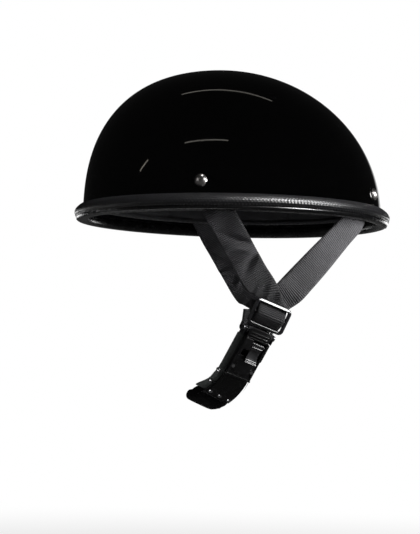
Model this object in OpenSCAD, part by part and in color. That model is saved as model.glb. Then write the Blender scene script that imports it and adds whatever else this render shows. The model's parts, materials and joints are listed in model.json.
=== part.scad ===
// Low half-shell motorcycle helmet with Y straps, slide glides, a lever buckle and a chin pad.
// +Z is up, -Y is the front, +X is the wearer's left, where the buckle is.
// The origin is the middle of the head opening, on the lower edge of the rim.

/* [Shell] */
// Length of the shell from front to rear
shell_length = 271.5; // [250:0.5:290]
// Half of the shell's width
shell_half_width = 108; // [100:0.5:116]
// Height of the shell above its own lower edge
shell_height = 133.5; // [120:0.5:142]
// How far the crown lies in front of the middle
apex_forward = 8; // [0:0.25:25]
// Roundness of the front profile, where 2 is an ellipse
front_fullness = 2.44; // [2:0.02:2.6]
// Roundness of the rear profile
rear_fullness = 2.0; // [2:0.02:2.6]
// Roundness of the sides
side_fullness = 2.3; // [2:0.02:2.6]
// How much wider the rear half is than the front half
egg_taper = 0.05; // [0:0.01:0.08]
// Wall of the moulded shell
shell_wall = 3; // [2.4:0.1:4]

/* [Edge trim] */
// Depth of the trim below the shell's edge
trim_drop = 6; // [4:0.5:8]
// Height of the trim on the outside
trim_height = 14.5; // [12:0.5:18]
// How far the rolled bead stands out from the shell
trim_bulge = 7.4; // [5:0.2:9]
// Thickness of the lip inside the shell
lip_wall = 2; // [1.4:0.1:2.4]
// Height of the lip inside the shell
lip_height = 9; // [8:0.5:9.5]
// Gap between the shell's edge and the channel
trim_fit = 0.2; // [0.1:0.05:0.4]

/* [Liner] */
// Gap between the shell and the foam at the crown
crown_gap = 0.5; // [0.4:0.1:1.2]
// Thickness of the foam
foam_wall = 14; // [12:0.5:18]
// Depth of the recess that the straps lie in, behind the foam's skirt
strap_recess = 5.6; // [5.4:0.1:6.4]
// Thickness of the quilted liner
comfort_wall = 5.4; // [4:0.2:8]
// Number of quilted channels round the liner
channel_count = 12; // [8:1:16]
// Depth of the stitched valleys between the channels
channel_depth = 2.4; // [1:0.2:3]
// Height of the liner's lower edge above the rim
liner_low = 14; // [13.5:0.5:18]
// Thickness of the band sewn under the liner
band_wall = 2.2; // [1.6:0.1:2.4]
// Gap between two pieces of the liner
liner_fit = 0.4; // [0.3:0.1:0.6]

/* [Strap rivets] */
// Angle of the front rivets, counted from the rear
front_rivet_angle = 102.8; // [96:0.2:110]
// Angle of the rear rivets, counted from the rear
rear_rivet_angle = 23.2; // [18:0.2:30]
// Height of the rivets above the rim
rivet_rise = 25.5; // [23:0.5:30]
// Diameter of the domed rivet heads
rivet_head_d = 10.8; // [8:0.2:13]
// Height of the domed rivet heads
rivet_head_h = 3; // [2:0.1:4]
// Diameter of the rivet shanks
rivet_d = 4; // [3:0.1:5]
// Thickness of the washers
washer_t = 0.7; // [0.5:0.1:0.8]

/* [Webbing] */
// Width of the webbing
web_w = 25.4; // [20:0.2:26]
// Thickness of the webbing
web_t = 1.4; // [1:0.1:1.5]
// Gap between the webbing and what it runs on
web_fit = 0.25; // [0.2:0.05:0.4]
// Angle of the front strap where it leaves the rim
front_exit_angle = 96.5; // [92:0.5:99]
// Angle of the rear strap where it leaves the rim
rear_exit_angle = 35; // [32:0.5:38]

/* [Glides] */
// How far the glides lie inside the shell's side
glide_inset = 26; // [22:0.5:30]
// Place of the glides behind the origin
glide_y = 31; // [27:0.5:35]
// Depth of the glides below the rim
glide_drop = 86.6; // [82:0.2:92]
// Backward lean of the glides, in degrees
glide_back = 24; // [20:0.5:28]
// Outward lean of the glides, in degrees
glide_out = 13.6; // [10:0.5:18]
// Turn of the glides' faces to the rear, in degrees
glide_turn = 15; // [10:0.5:20]
// Distance between the bars of a glide
glide_pitch = 10.5; // [10:0.1:12]
// Radius of the bars of a glide
glide_bar_r = 1.5; // [1.2:0.1:1.6]

/* [Buckle] */
// Free webbing between the buckle's bar and the lower bar of its glide
web_reach = 6.5; // [6:0.25:12]
// Backward lean of the buckle, in degrees
buckle_back = 26.8; // [24:0.2:30]
// Outward lean of the buckle, in degrees
buckle_out = 19.7; // [17:0.2:23]
// Turn of the buckle's face to the rear, in degrees
buckle_turn = 22; // [18:0.5:26]
// Width of the buckle's housing
buckle_w = 23; // [21:0.2:25]
// Length of the buckle's housing
buckle_len = 38; // [36:0.5:42]
// Thickness of the steel base plate
plate_t = 1.2; // [0.8:0.1:1.4]
// Radius of the bar that holds the webbing loop
yoke_bar_r = 1.6; // [1.2:0.1:1.8]
// Radius of the lever's pin
pin_r = 1.2; // [0.9:0.1:1.4]
// Running gap round the pin
pin_fit = 0.04; // [0.02:0.01:0.08]
// Width of the lever
lever_w = 10.4; // [8:0.2:11]
// Thickness of the lever's plate
lever_t = 1.4; // [1:0.1:1.6]
// Width of the tongue's blade
blade_w = 14; // [11:0.2:14.4]
// Thickness of the tongue
tongue_t = 2; // [1.6:0.1:2.2]
// Width of the tongue's outer plate
tongue_w = 24; // [20:0.2:24]

/* [Chin pad] */
// Place of the chin strap's middle in front of the buckle's lower end
chin_forward = 30; // [24:0.5:36]
// Depth of the chin strap's middle below the buckle's lower end
chin_drop = 24.5; // [20:0.5:30]
// Slope of the pad from front to rear, in degrees
chin_slope = 24; // [10:0.5:26]
// Width of the chin pad
pad_w = 33; // [32:0.5:42]
// Thickness of the chin pad towards the chin
pad_rise = 9; // [6:0.5:11]
// Thickness of the chin pad outside the webbing
pad_skin = 2; // [1.4:0.1:3]
// Thickness of the jaw guard behind the buckle
guard_t = 2; // [1.4:0.1:2.6]
// How far the jaw guard reaches in front of the webbing
guard_front = 5.4; // [5:0.2:8]

/* [Hidden] */

// Directions and frames
function unit(v) = v / norm(v);
function mix(a, b, t) = a + (b - a) * t;
function ease(t) = let (c = min(1, max(0, t))) c * c * (3 - 2 * c);
function flip(p) = [-p.x, p.y, p.z];

// A frame is [origin, width direction, up direction, outward direction]
function leaning_frame(o, back, out, turn) = let (
    up = unit([tan(out), tan(back), 1]),
    w = unit(cross(up, [cos(turn), sin(turn), 0])))
    [o, w, up, cross(w, up)];
function in_frame(f, p) = f[0] + f[1] * p.x + f[2] * p.y + f[3] * p.z;
function mirror_frame(f) = [flip(f[0]), flip(f[1]), flip(f[2]), flip(f[3])];
module place(f) {
    multmatrix([[f[1].x, f[2].x, f[3].x, f[0].x], [f[1].y, f[2].y, f[3].y, f[0].y],
        [f[1].z, f[2].z, f[3].z, f[0].z], [0, 0, 0, 1]]) children();
}
module across() { rotate([90, 0, 90]) children(); }

// The dome: phi runs from the rear (0) past the left side (90), t from the edge (0) to the crown (1),
// and d is the depth below the outer surface
front_reach = shell_length / 2 - apex_forward;
rear_reach = shell_length / 2 + apex_forward;
function fall(t, p) = pow(max(0, 1 - pow(t, p)), 1 / p);
function on_dome(phi, t, d) = let (
    y_front = -apex_forward - (front_reach - d) * fall(t, front_fullness),
    y_rear = -apex_forward + (rear_reach - d) * fall(t, rear_fullness))
    [(shell_half_width - d) * fall(t, side_fullness) * sin(phi) * (1 + egg_taper * cos(phi)),
     (y_front + y_rear) / 2 + (y_rear - y_front) / 2 * cos(phi),
     trim_drop + (shell_height - d) * t];
function on_wall(phi, z, d) = let (
    p = on_dome(phi, max(0, (z - trim_drop) / (shell_height - d)), d)) [p.x, p.y, z];
function wall_normal(phi, z) = unit(cross(
    on_wall(phi, z + 1, 0) - on_wall(phi, z - 1, 0),
    on_wall(phi + 0.5, z, 0) - on_wall(phi - 0.5, z, 0)));
function ring_t(i, n, low) = let (
    a = asin(pow(low, 1.1)), b = a + (90 - a) * i / n) pow(sin(b), 1 / 1.1);

// A closed dome from an outer and an inner stack of rings, each with its pole as the last entry
module dome(outer, inner) {
    m = len(outer[0]);
    n = len(outer) - 1;
    k = n * m + 1;
    polyhedron(
        concat([for (i = [0:n - 1]) each outer[i]], [outer[n]],
            [for (i = [0:n - 1]) each inner[i]], [inner[n]]),
        concat(
            [for (i = [0:n - 2], j = [0:m - 1]) let (a = i * m + j, b = i * m + (j + 1) % m)
                each [[a, b, b + m], [a, b + m, a + m]]],
            [for (j = [0:m - 1]) [(n - 1) * m + j, (n - 1) * m + (j + 1) % m, n * m]],
            [for (i = [0:n - 2], j = [0:m - 1]) let (a = k + i * m + j, b = k + i * m + (j + 1) % m)
                each [[a, b + m, b], [a, a + m, b + m]]],
            [for (j = [0:m - 1]) [k + (n - 1) * m + (j + 1) % m, k + (n - 1) * m + j, k + n * m]],
            [for (j = [0:m - 1]) let (b = (j + 1) % m) each [[k + j, k + b, b], [k + j, b, j]]]));
}

// A ring swept round the head opening: the profile is a list of [outward, height] points
module rim_ring(profile, steps) {
    k = len(profile);
    polyhedron(
        [for (i = [0:steps - 1]) let (
            phi = 360 * i / steps)
            for (p = profile) let (q = on_dome(phi, 0, -p.x)) [q.x, q.y, p.y]],
        [for (i = [0:steps - 1], j = [0:k - 1]) let (
            a = i * k + j, b = i * k + (j + 1) % k,
            c = ((i + 1) % steps) * k + j, d = ((i + 1) % steps) * k + (j + 1) % k)
            each [[a, d, c], [a, b, d]]]);
}

// A solid lofted through sections with the same number of points
module loft(sections) {
    n = len(sections);
    k = len(sections[0]);
    polyhedron([for (s = sections) each s], concat(
        [for (i = [0:n - 2], j = [0:k - 1]) let (a = i * k + j, b = i * k + (j + 1) % k)
            each [[a, b, b + k], [a, b + k, a + k]]],
        [for (j = [1:k - 2]) [0, j + 1, j]],
        [for (j = [1:k - 2]) [(n - 1) * k, (n - 1) * k + j, (n - 1) * k + j + 1]]));
}

// A solid lofted through sections that each have an outer and an inner loop
module hollow_loft(outer, inner) {
    n = len(outer);
    k = len(outer[0]);
    m = n * k;
    polyhedron(concat([for (s = outer) each s], [for (s = inner) each s]), concat(
        [for (i = [0:n - 2], j = [0:k - 1]) let (a = i * k + j, b = i * k + (j + 1) % k)
            each [[a, b, b + k], [a, b + k, a + k]]],
        [for (i = [0:n - 2], j = [0:k - 1]) let (a = m + i * k + j, b = m + i * k + (j + 1) % k)
            each [[a, b + k, b], [a, a + k, b + k]]],
        [for (j = [0:k - 1]) let (b = (j + 1) % k) each [[j, m + b, b], [j, m + j, m + b]]],
        [for (j = [0:k - 1]) let (b = (j + 1) % k, e = m - k)
            each [[e + j, e + b, m + e + b], [e + j, m + e + b, m + e + j]]]));
}

// Webbing along a list of [centre, width direction] pairs
function travel(path, i) = unit(path[min(i + 1, len(path) - 1)][0] - path[max(i - 1, 0)][0]);
function web_section(path, i, w, t, lift) = let (
    n = unit(cross(travel(path, i), path[i][1])),
    c = path[i][0] + n * lift, u = path[i][1] * w / 2, v = n * t / 2)
    [c + u - v, c - u - v, c - u + v, c + u + v];
module webbing(path) { loft([for (i = [0:len(path) - 1]) web_section(path, i, web_w, web_t, 0)]); }

// Depths below the shell's outer surface at which the layers of a strap's end lie
function web_sag(phi) = let (
    a = shell_length / 2 * sin(phi), b = shell_half_width * cos(phi),
    bend = pow(a * a + b * b, 1.5) / (shell_length / 2 * shell_half_width)) pow(0.62 * web_w, 2) / (2 * bend);
function web_seat(phi) = shell_wall + web_fit + web_sag(phi) + web_t / 2;
function web_low(phi) = shell_wall + trim_fit + lip_wall + web_fit + web_sag(phi) + web_t / 2;
function tail_depth(phi) = web_seat(phi) + web_t / 2 + washer_gap + washer_t;
washer_gap = 0.4;
tail_h = 0.8;
strap_top = 11;

function strap_on_wall(rivet_angle, exit_angle) = let (
    run = norm(on_wall(rivet_angle, 0, 0) - on_wall(exit_angle, 0, 0)),
    tilt = atan(run / rivet_rise),
    low = lip_height + 0.8 + web_w / 2 * sin(tilt),
    flat = rivet_rise - (rivet_head_d / 2 + 0.9) * cos(tilt),
    heights = [rivet_rise + strap_top, rivet_rise + strap_top / 2, rivet_rise, flat, low, lip_height / 2, -1],
    pts = [for (z = heights) let (phi = mix(exit_angle, rivet_angle, z / rivet_rise))
        on_wall(phi, z, mix(web_seat(phi), web_low(phi), min(1, max(0, (flat - z) / (flat - low)))))])
    [for (i = [0:len(pts) - 1]) let (
        t = unit(pts[min(i + 1, len(pts) - 1)] - pts[max(i - 1, 0)]),
        n = wall_normal(mix(exit_angle, rivet_angle, heights[i] / rivet_rise), max(heights[i], 0)))
        [pts[i], unit(cross(n, t))]];

// The glide's frame, and the way that a strap is threaded over its middle bar
glide_point = [shell_half_width - glide_inset, glide_y, -glide_drop];
glide_frame = leaning_frame(glide_point, glide_back, glide_out, glide_turn);
near_bar = glide_bar_r + web_fit + web_t / 2;
far_bar = near_bar + web_t + web_fit;
thread_angle = asin((near_bar + far_bar) / glide_pitch);
function thread(r_end, r_mid) = [for (p = concat(
    [for (k = [0:3]) [glide_pitch - r_end * sin(thread_angle * k / 3), -r_end * cos(thread_angle * k / 3)]],
    [for (k = [4:-1:-4]) [r_mid * sin(thread_angle * k / 4), r_mid * cos(thread_angle * k / 4)]],
    [for (k = [3:-1:0])
        [-glide_pitch + r_end * sin(thread_angle * k / 3), -r_end * cos(thread_angle * k / 3)]]))
    [in_frame(glide_frame, [0, p.x, p.y]), glide_frame[1]]];

// The buckle's frame, which hangs below the glide by the free webbing, and heights above its inner face
yoke_s = buckle_len + 4.5;
buckle_lean = leaning_frame([0, 0, 0], buckle_back, buckle_out, buckle_turn);
buckle_frame = [glide_frame[0] - in_frame(buckle_lean, [1.5, yoke_s + glide_pitch + web_reach, 0.4]),
    buckle_lean[1], buckle_lean[2], buckle_lean[3]];
plate_low = -0.4;
plate_top = plate_low + plate_t;
tongue_low = plate_top + 0.4;
tongue_top = tongue_low + tongue_t;
tunnel_top = tongue_top + 0.4;
roof_z = tunnel_top + 2.8;
wall_z = roof_z + 2.2;
wall_t = 2.3;
trough_s = 20.5;
pin_s = buckle_len - 5;
pin_z = roof_z - 0.2;
lever_x = 2;
yoke_z = 0.6;
yoke_gap = web_w / 2 + 0.4;
blade_reach = 28;
arm_s = buckle_len - 1.2;
hood_s = buckle_len - 10.5;

// The loop of webbing round the yoke bar, from behind it to its outer side
wrap = yoke_bar_r + web_fit + web_t / 2;
cover_z = yoke_z + wrap + web_t / 2 + 0.45;
loop_path = [for (p = concat(
    [[yoke_s + 2.4, yoke_z - wrap - 0.1]],
    [for (k = [0:6]) [yoke_s - wrap * sin(30 * k), yoke_z - wrap * cos(30 * k)]],
    [[yoke_s + 3.6, yoke_z + wrap + 0.1]]))
    [in_frame(buckle_frame, [0, p.x, p.y]), buckle_frame[1]]];

// Free stretches between the rim and a glide, drawn together sideways as they enter it
function entry(side, depth) = [
    [in_frame(glide_frame, [side, 2.6 * glide_pitch, -depth - 1.2]), glide_frame[1]],
    [in_frame(glide_frame, [side * 0.35, 1.7 * glide_pitch, -depth - 0.3]), glide_frame[1]],
    [in_frame(glide_frame, [side * 0.06, 1.25 * glide_pitch, -depth]), glide_frame[1]]];
function span(a, b, n) = [for (k = [1:n]) let (t = k / (n + 1))
    [mix(a[0], b[0], t), unit(mix(a[1], b[1], ease(t)))]];
// A front strap comes down slanting and is gathered just above its glide
function slanted(x, rise, back, turn) = let (w = glide_frame[1], u = glide_frame[2])
    [in_frame(glide_frame, [x * web_w, glide_pitch + rise, -near_bar - back]), w * cos(turn) + u * sin(turn)];
front_wall = strap_on_wall(front_rivet_angle, front_exit_angle);
rear_wall = strap_on_wall(rear_rivet_angle, rear_exit_angle);
front_entry = [slanted(-1.08, 16.5, 1.2, 48), slanted(-0.645, 9.8, 0.5, 33), slanted(-0.32, 4.7, 0.1, 16)];
rear_entry = entry(9, far_bar);
front_upper = concat(front_wall, span(front_wall[6], front_entry[0], 3), front_entry,
    thread(near_bar, far_bar));
tail_r = web_t / 2 + 1.1;
rear_tail = [for (p = concat(
    [for (a = [30:30:180]) [0, 0.7 - glide_pitch - tail_r * sin(a), -far_bar - tail_r * (1 - cos(a))]],
    [for (k = [1:4]) [-1.6 * k, 5.2 * k - glide_pitch, -far_bar - 2 * tail_r - 0.1]]))
    [in_frame(glide_frame, p), glide_frame[1]]];
rear_upper = concat(rear_wall, span(rear_wall[6], rear_entry[0], 5), rear_entry,
    thread(far_bar, near_bar), rear_tail);
left_front_path = concat(front_upper, loop_path);
right_tail = [for (p = [[yoke_s + 1.5, -1.3], [yoke_s - 6.5, -0.1], [yoke_s - 16, 0.4]])
    [in_frame(buckle_frame, [0, p.x, p.y]), buckle_frame[1]]];
right_front_path = concat(front_upper, right_tail);

// The jaw line from the middle of the chin (0) to the buckle's lower end (1)
chin_point = [0, buckle_frame[0].y - chin_forward, buckle_frame[0].z - chin_drop];
chin_width = [0, cos(chin_slope), -sin(chin_slope)];
jaw_poles = [chin_point, chin_point + [30, 0, 0], buckle_frame[0] - buckle_frame[2] * 26, buckle_frame[0]];
function jaw(t) = pow(1 - t, 3) * jaw_poles[0] + 3 * pow(1 - t, 2) * t * jaw_poles[1]
    + 3 * (1 - t) * t * t * jaw_poles[2] + t * t * t * jaw_poles[3];
function jaw_up(t) = unit(3 * pow(1 - t, 2) * (jaw_poles[1] - jaw_poles[0])
    + 6 * (1 - t) * t * (jaw_poles[2] - jaw_poles[1]) + 3 * t * t * (jaw_poles[3] - jaw_poles[2]));
function jaw_frame(t) = let (
    up = jaw_up(t), w0 = mix(chin_width, buckle_frame[1], t), w = unit(w0 - up * (w0 * up)))
    [jaw(t), w, up, cross(w, up)];
function any_jaw_frame(t) = t >= 0 ? jaw_frame(t) : let (f = jaw_frame(-t))
    [flip(f[0]), flip(f[1]), -flip(f[2]), flip(f[3])];

// Places along the jaw line, and heights above it
web_z = tongue_low - web_fit - web_t / 2;
guard_z = plate_low - 0.4 - guard_t / 2;
tongue_end = 0.62;
rivet_line = 0.67;
web_end = 0.8;
pad_end = 0.58;
guard_start = 0.586;

// Shell, trim and liner
shell_steps = 72;
function rings(d, n, low, steps) = concat(
    [for (i = [0:n - 1]) [for (j = [0:steps - 1]) on_dome(360 * j / steps, ring_t(i, n, low), d)]],
    [on_dome(0, 1, d)]);
module at_rivets() {
    for (side = [0, 1], a = [front_rivet_angle, rear_rivet_angle]) mirror([side, 0, 0]) {
        $stem = tail_depth(a);
        n = wall_normal(a, rivet_rise);
        w = unit(cross(n, [0, 0, 1]));
        place([on_wall(a, rivet_rise, 0), w, cross(n, w), n]) children();
    }
}
module rivet_bore(gap) {
    at_rivets() translate([0, 0, -$stem - 4]) cylinder(h = $stem + 8, d = rivet_d + gap, $fn = 32);
}
module outer_shell() {
    color("#0c0c0e") difference() {
        dome(rings(0, 14, 0, shell_steps), rings(shell_wall, 14, 0, shell_steps));
        rivet_bore(0.2);
    }
}
trim_profile = let (
    inner = shell_wall + trim_fit, r = 1.1) concat(
    [for (k = [0:8]) let (a = 90 - 22.5 * k) [trim_fit + (trim_bulge - trim_fit) * pow(max(0, cos(a)), 0.75),
        trim_height / 2 * (1 + sin(a))]],
    [[-inner, 0], [-inner - lip_wall * 0.7, r], [-inner - lip_wall, 2.5 * r],
     [-inner - lip_wall, lip_height - r], [-inner - lip_wall * 0.7, lip_height], [-inner - 0.5, lip_height],
     [-inner, trim_drop - trim_fit], [trim_fit, trim_drop - trim_fit]]);
module edge_trim() { color("#18181a") rim_ring(trim_profile, shell_steps); }

foam_depth = shell_wall + crown_gap;
liner_rings = 10;
liner_steps = channel_count * 5;
function foam_skin(t) = foam_depth + strap_recess * (1 - ease((t - 0.2) / 0.16));
function low_t(d) = (liner_low - trim_drop) / (shell_height - d);
module foam_liner() {
    low = low_t(foam_depth + strap_recess);
    inner_depth = foam_depth + foam_wall;
    outer = concat([for (i = [0:liner_rings - 1]) let (t = ring_t(i, liner_rings, low))
        [for (j = [0:liner_steps - 1]) on_dome(360 * j / liner_steps, t, foam_skin(t))]],
        [on_dome(0, 1, foam_depth)]);
    color("#3a3a3c") dome(outer, rings(inner_depth, liner_rings, low_t(inner_depth), liner_steps));
}
comfort_depth = foam_depth + foam_wall + liner_fit;
module comfort_liner() {
    inner_depth = comfort_depth + comfort_wall;
    function puff(j, t) = channel_depth * (1 - pow(abs(sin(36 * j)), 0.6)) * ease((0.95 - t) / 0.5);
    inner = concat([for (i = [0:liner_rings - 1]) let (t = ring_t(i, liner_rings, low_t(inner_depth)))
        [for (j = [0:liner_steps - 1]) on_dome(360 * j / liner_steps, t, inner_depth - puff(j, t))]],
        [on_dome(0, 1, inner_depth)]);
    color("#202022") dome(rings(comfort_depth, liner_rings, low_t(comfort_depth), liner_steps), inner);
}
module liner_band() {
    out = -(foam_depth + strap_recess + 0.5);
    inn = -(comfort_depth + comfort_wall);
    low = liner_low - liner_fit - band_wall;
    color("#161618") rim_ring([[out, low + band_wall], [out, low + 0.7], [out - 0.8, low],
        [inn + 0.8, low], [inn, low + 0.7], [inn, low + band_wall]], 72);
}

// Rivets and washers
module strap_rivets() {
    ball = (rivet_head_d * rivet_head_d / 4 + rivet_head_h * rivet_head_h) / (2 * rivet_head_h);
    seat = 0.4;
    color("#d8d8dc") at_rivets() {
        translate([0, 0, seat]) difference() {
            translate([0, 0, rivet_head_h - ball]) sphere(ball, $fn = 64);
            translate([0, 0, -2 * ball]) cylinder(h = 2 * ball, r = 2 * ball, $fn = 64);
        }
        translate([0, 0, -$stem - tail_h]) {
            cylinder(h = $stem + tail_h + seat + 0.5, d = rivet_d, $fn = 32);
            cylinder(h = tail_h, d = rivet_d * 1.6, $fn = 32);
        }
    }
}
module rivet_washers() {
    color("#a8a8ac") at_rivets() translate([0, 0, -$stem + 0.05]) difference() {
        cylinder(h = washer_t - 0.05, d = rivet_head_d, $fn = 48);
        translate([0, 0, -1]) cylinder(h = 3, d = rivet_d + 0.1, $fn = 32);
    }
}

// Straps, each with the holes of its rivet
module left_front_strap() {
    color("#26262a") difference() { webbing(left_front_path); rivet_bore(0.2); }
}
module rear_strap() {
    color("#26262a") difference() { webbing(rear_upper); rivet_bore(0.2); }
}
module left_rear_strap() { rear_strap(); }
module right_rear_strap() { mirror([1, 0, 0]) rear_strap(); }
module right_front_strap() {
    color("#26262a") mirror([1, 0, 0]) difference() { webbing(right_front_path); rivet_bore(0.2); }
}

// Glides: round bars in a frame with rounded corners
module rounded_rect(w, h, r) {
    square([w - 2 * r, h], center = true);
    square([w, h - 2 * r], center = true);
    for (x = [-1, 1], y = [-1, 1]) translate([x * (w / 2 - r), y * (h / 2 - r)]) circle(r, $fn = 40);
}
module glide() {
    half = web_w / 2 + 1;
    side = 3.2;
    color("#1c1c1e") place(glide_frame) {
        for (y = [-glide_pitch, 0, glide_pitch])
            translate([0, y, 0]) rotate([0, 90, 0])
                cylinder(h = 2 * half + 1, r = glide_bar_r, center = true, $fn = 40);
        for (x = [-1, 1]) translate([x * (half + side / 2), 0, -glide_bar_r])
            linear_extrude(2 * glide_bar_r) rounded_rect(side, 2 * (glide_pitch + glide_bar_r), 1.4);
    }
}
module left_glide() { glide(); }
module right_glide() { mirror([1, 0, 0]) glide(); }

// Buckle housing: a closed lower half with a raised panel, an open trough for the lever with a hood over its
// spring, and a cover with cut corners over the webbing loop
module block(x0, x1, s0, s1, z0, z1) { translate([x0, s0, z0]) cube([x1 - x0, s1 - s0, z1 - z0]); }
module housing_rivet_places() {
    for (x = [-1, 1]) translate([x * (blade_w / 2 + 2), 9, 0]) children();
}
module buckle_housing() {
    hw = buckle_w / 2;
    color("#151517") place(buckle_frame) difference() {
        union() {
            translate([0, buckle_len / 2, plate_top]) linear_extrude(roof_z - plate_top)
                rounded_rect(buckle_w, buckle_len, 2);
            for (x = [-1, 1]) translate([x * (hw - wall_t / 2), (trough_s + buckle_len) / 2, plate_top])
                linear_extrude(wall_z - plate_top) rounded_rect(wall_t, buckle_len - trough_s, 1.1);
            translate([0, 10.5, roof_z - 0.5]) linear_extrude(0.9) rounded_rect(15, 13, 3);
            block(-hw - 0.6, hw + 0.6, 0, 1.4, plate_top, roof_z + 0.7);
            for (x = [-hw, hw - 0.9]) block(x, x + 0.9, 1, trough_s + 1, roof_z - 0.5, roof_z + 0.6);
            block(-hw, -hw + wall_t, hood_s, buckle_len - 0.6, wall_z - 0.5, wall_z + 1.1);
            block(-hw, lever_x - lever_w / 2 - 1, hood_s, buckle_len - 0.6, wall_z + 0.2, wall_z + 1.1);
            translate([0, 0, cover_z]) linear_extrude(1.4) polygon([[-10.5, buckle_len - 1.5],
                [10.5, buckle_len - 1.5], [10.5, yoke_s + 1.1], [7.2, yoke_s + 4.1], [-7.2, yoke_s + 4.1],
                [-10.5, yoke_s + 1.1]]);
            for (s = [yoke_s - 4, yoke_s - 1.2]) block(-8.5, 8.5, s, s + 1.8, cover_z + 1, cover_z + 2);
        }
        block(-blade_w / 2 - 0.4, blade_w / 2 + 0.4, -1, blade_reach + 2, plate_top - 1, tunnel_top);
        block(wall_t - hw - 0.05, hw - wall_t + 0.05, trough_s, buckle_len - 1, tunnel_top, wall_z);
        block(wall_t - hw, hw - wall_t, blade_reach + 0.5, buckle_len - 1, plate_top + 1.2, wall_z);
        translate([-hw - 1, pin_s, pin_z]) rotate([0, 90, 0])
            cylinder(h = buckle_w + 2, r = pin_r + 0.02, $fn = 40);
        housing_rivet_places() cylinder(h = 20, d = 2.1, $fn = 24);
    }
}
module buckle_base_plate() {
    hw = buckle_w / 2 - 0.6;
    ear = yoke_gap + plate_t;
    color("#8c8c90") place(buckle_frame) difference() {
        union() {
            block(-hw, hw, 0.5, buckle_len + 0.8, plate_low, plate_top);
            block(-ear, ear, arm_s, buckle_len + 0.8, plate_low, plate_top);
            for (x = [-1, 1]) translate([x * (yoke_gap + plate_t / 2), 0, 0]) {
                block(-plate_t / 2, plate_t / 2, arm_s, yoke_s, yoke_z - 2.8, yoke_z + 2.8);
                translate([-plate_t / 2, yoke_s, yoke_z]) rotate([0, 90, 0])
                    cylinder(h = plate_t, r = 2.8, $fn = 40);
            }
        }
        translate([-ear - 1, yoke_s, yoke_z]) rotate([0, 90, 0])
            cylinder(h = 2 * ear + 2, r = yoke_bar_r + 0.02, $fn = 40);
        housing_rivet_places() translate([0, 0, -5]) cylinder(h = 10, d = 2.1, $fn = 24);
    }
}
module buckle_bar() {
    ear = yoke_gap + plate_t;
    color("#b8b8bc") place(buckle_frame) translate([0, yoke_s, yoke_z]) rotate([0, 90, 0]) {
        cylinder(h = 2 * ear + 0.4, r = yoke_bar_r, center = true, $fn = 40);
        for (z = [-1, 1]) translate([0, 0, z * (ear + 0.55)])
            cylinder(h = 0.9, r = yoke_bar_r + 0.7, center = true, $fn = 40);
    }
}
module housing_rivets() {
    color("#c8c8cc") place(buckle_frame) housing_rivet_places() {
        translate([0, 0, plate_low - 0.3]) cylinder(h = roof_z - plate_low + 0.35, d = 2, $fn = 24);
        translate([0, 0, roof_z + 0.05]) cylinder(h = 0.5, d = 3, $fn = 24);
    }
}

// Lever: a rolled barrel on the pin, two ribs, a hollowed finger plate with a flared end, and a pawl
function outline(pts, t) = let (n = len(pts), side = [for (i = [0:n - 1]) let (
    d = unit(pts[min(i + 1, n - 1)] - pts[max(i - 1, 0)])) [-d.y, d.x] * t / 2])
    concat([for (i = [0:n - 1]) pts[i] + side[i]], [for (i = [n - 1:-1:0]) pts[i] - side[i]]);
module buckle_lever() {
    top = roof_z;
    arm = [[pin_s - 1, top + 1.4], [pin_s - 3, top + 1.7], [pin_s - 5.5, top + 0.9], [pin_s - 8.4, top + 0.9],
        [pin_s - 11, top + 1.5], [pin_s - 13.2, top + 2.3], [pin_s - 14.8, top + 3.3], [pin_s - 15.9, top + 4.8]];
    color("#1b1b1e") place(buckle_frame) translate([lever_x - lever_w / 2, 0, 0]) difference() {
        union() {
            across() linear_extrude(lever_w) translate([pin_s, pin_z]) circle(2.5, $fn = 48);
            across() linear_extrude(lever_w) polygon(outline(arm, lever_t));
            across() linear_extrude(lever_w) polygon([[pin_s - 5, top + 1.4], [pin_s - 8.6, top + 0.9],
                [pin_s - 7.6, tongue_top + 0.25], [pin_s - 6.4, tongue_top + 0.25]]);
            across() linear_extrude(lever_w) translate([pin_s + 1.4, pin_z + 2.2]) circle(0.9, $fn = 24);
            across() linear_extrude(lever_w) translate([pin_s - 1.9, pin_z + 2.7]) circle(0.9, $fn = 24);
        }
        translate([-1, pin_s, pin_z]) rotate([0, 90, 0])
            cylinder(h = lever_w + 2, r = pin_r + pin_fit, $fn = 40);
    }
}
module lever_pin() {
    color("#c0c0c4") place(buckle_frame) translate([-buckle_w / 2, pin_s, pin_z])
        rotate([0, 90, 0]) cylinder(h = buckle_w, r = pin_r, $fn = 40);
}

// Torsion spring round the pin, beside the lever
spring_wire = 0.7;
spring_r = pin_r + 0.45 + spring_wire / 2;
spring_turns = 3;
spring_pitch = 1.15;
spring_x = lever_x - lever_w / 2 - 0.6 - spring_turns * spring_pitch;
function spring_at(a) = [spring_x + spring_pitch * a / 360,
    pin_s - spring_r * cos(a), pin_z - spring_r * sin(a)];
spring_path = concat(
    [[spring_x, pin_s - spring_r, pin_z - 3.4 + pin_r], [spring_x, pin_s - spring_r, pin_z - 1]],
    [for (k = [0:12 * spring_turns]) spring_at(30 * k)],
    [spring_at(360 * spring_turns) + [0.3, -1.6, 0.1], spring_at(360 * spring_turns) + [2.2, -3.4, -0.2]]);
module lever_spring() {
    color("#9a9aa0") place(buckle_frame) loft([for (i = [0:len(spring_path) - 1]) let (
        t = unit(spring_path[min(i + 1, len(spring_path) - 1)] - spring_path[max(i - 1, 0)]),
        u = unit(cross(t, [1, 0.01, 0.02])), v = cross(t, u))
        [for (k = [0:5]) spring_path[i] + (u * cos(60 * k) - v * sin(60 * k)) * spring_wire / 2]]);
}

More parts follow.
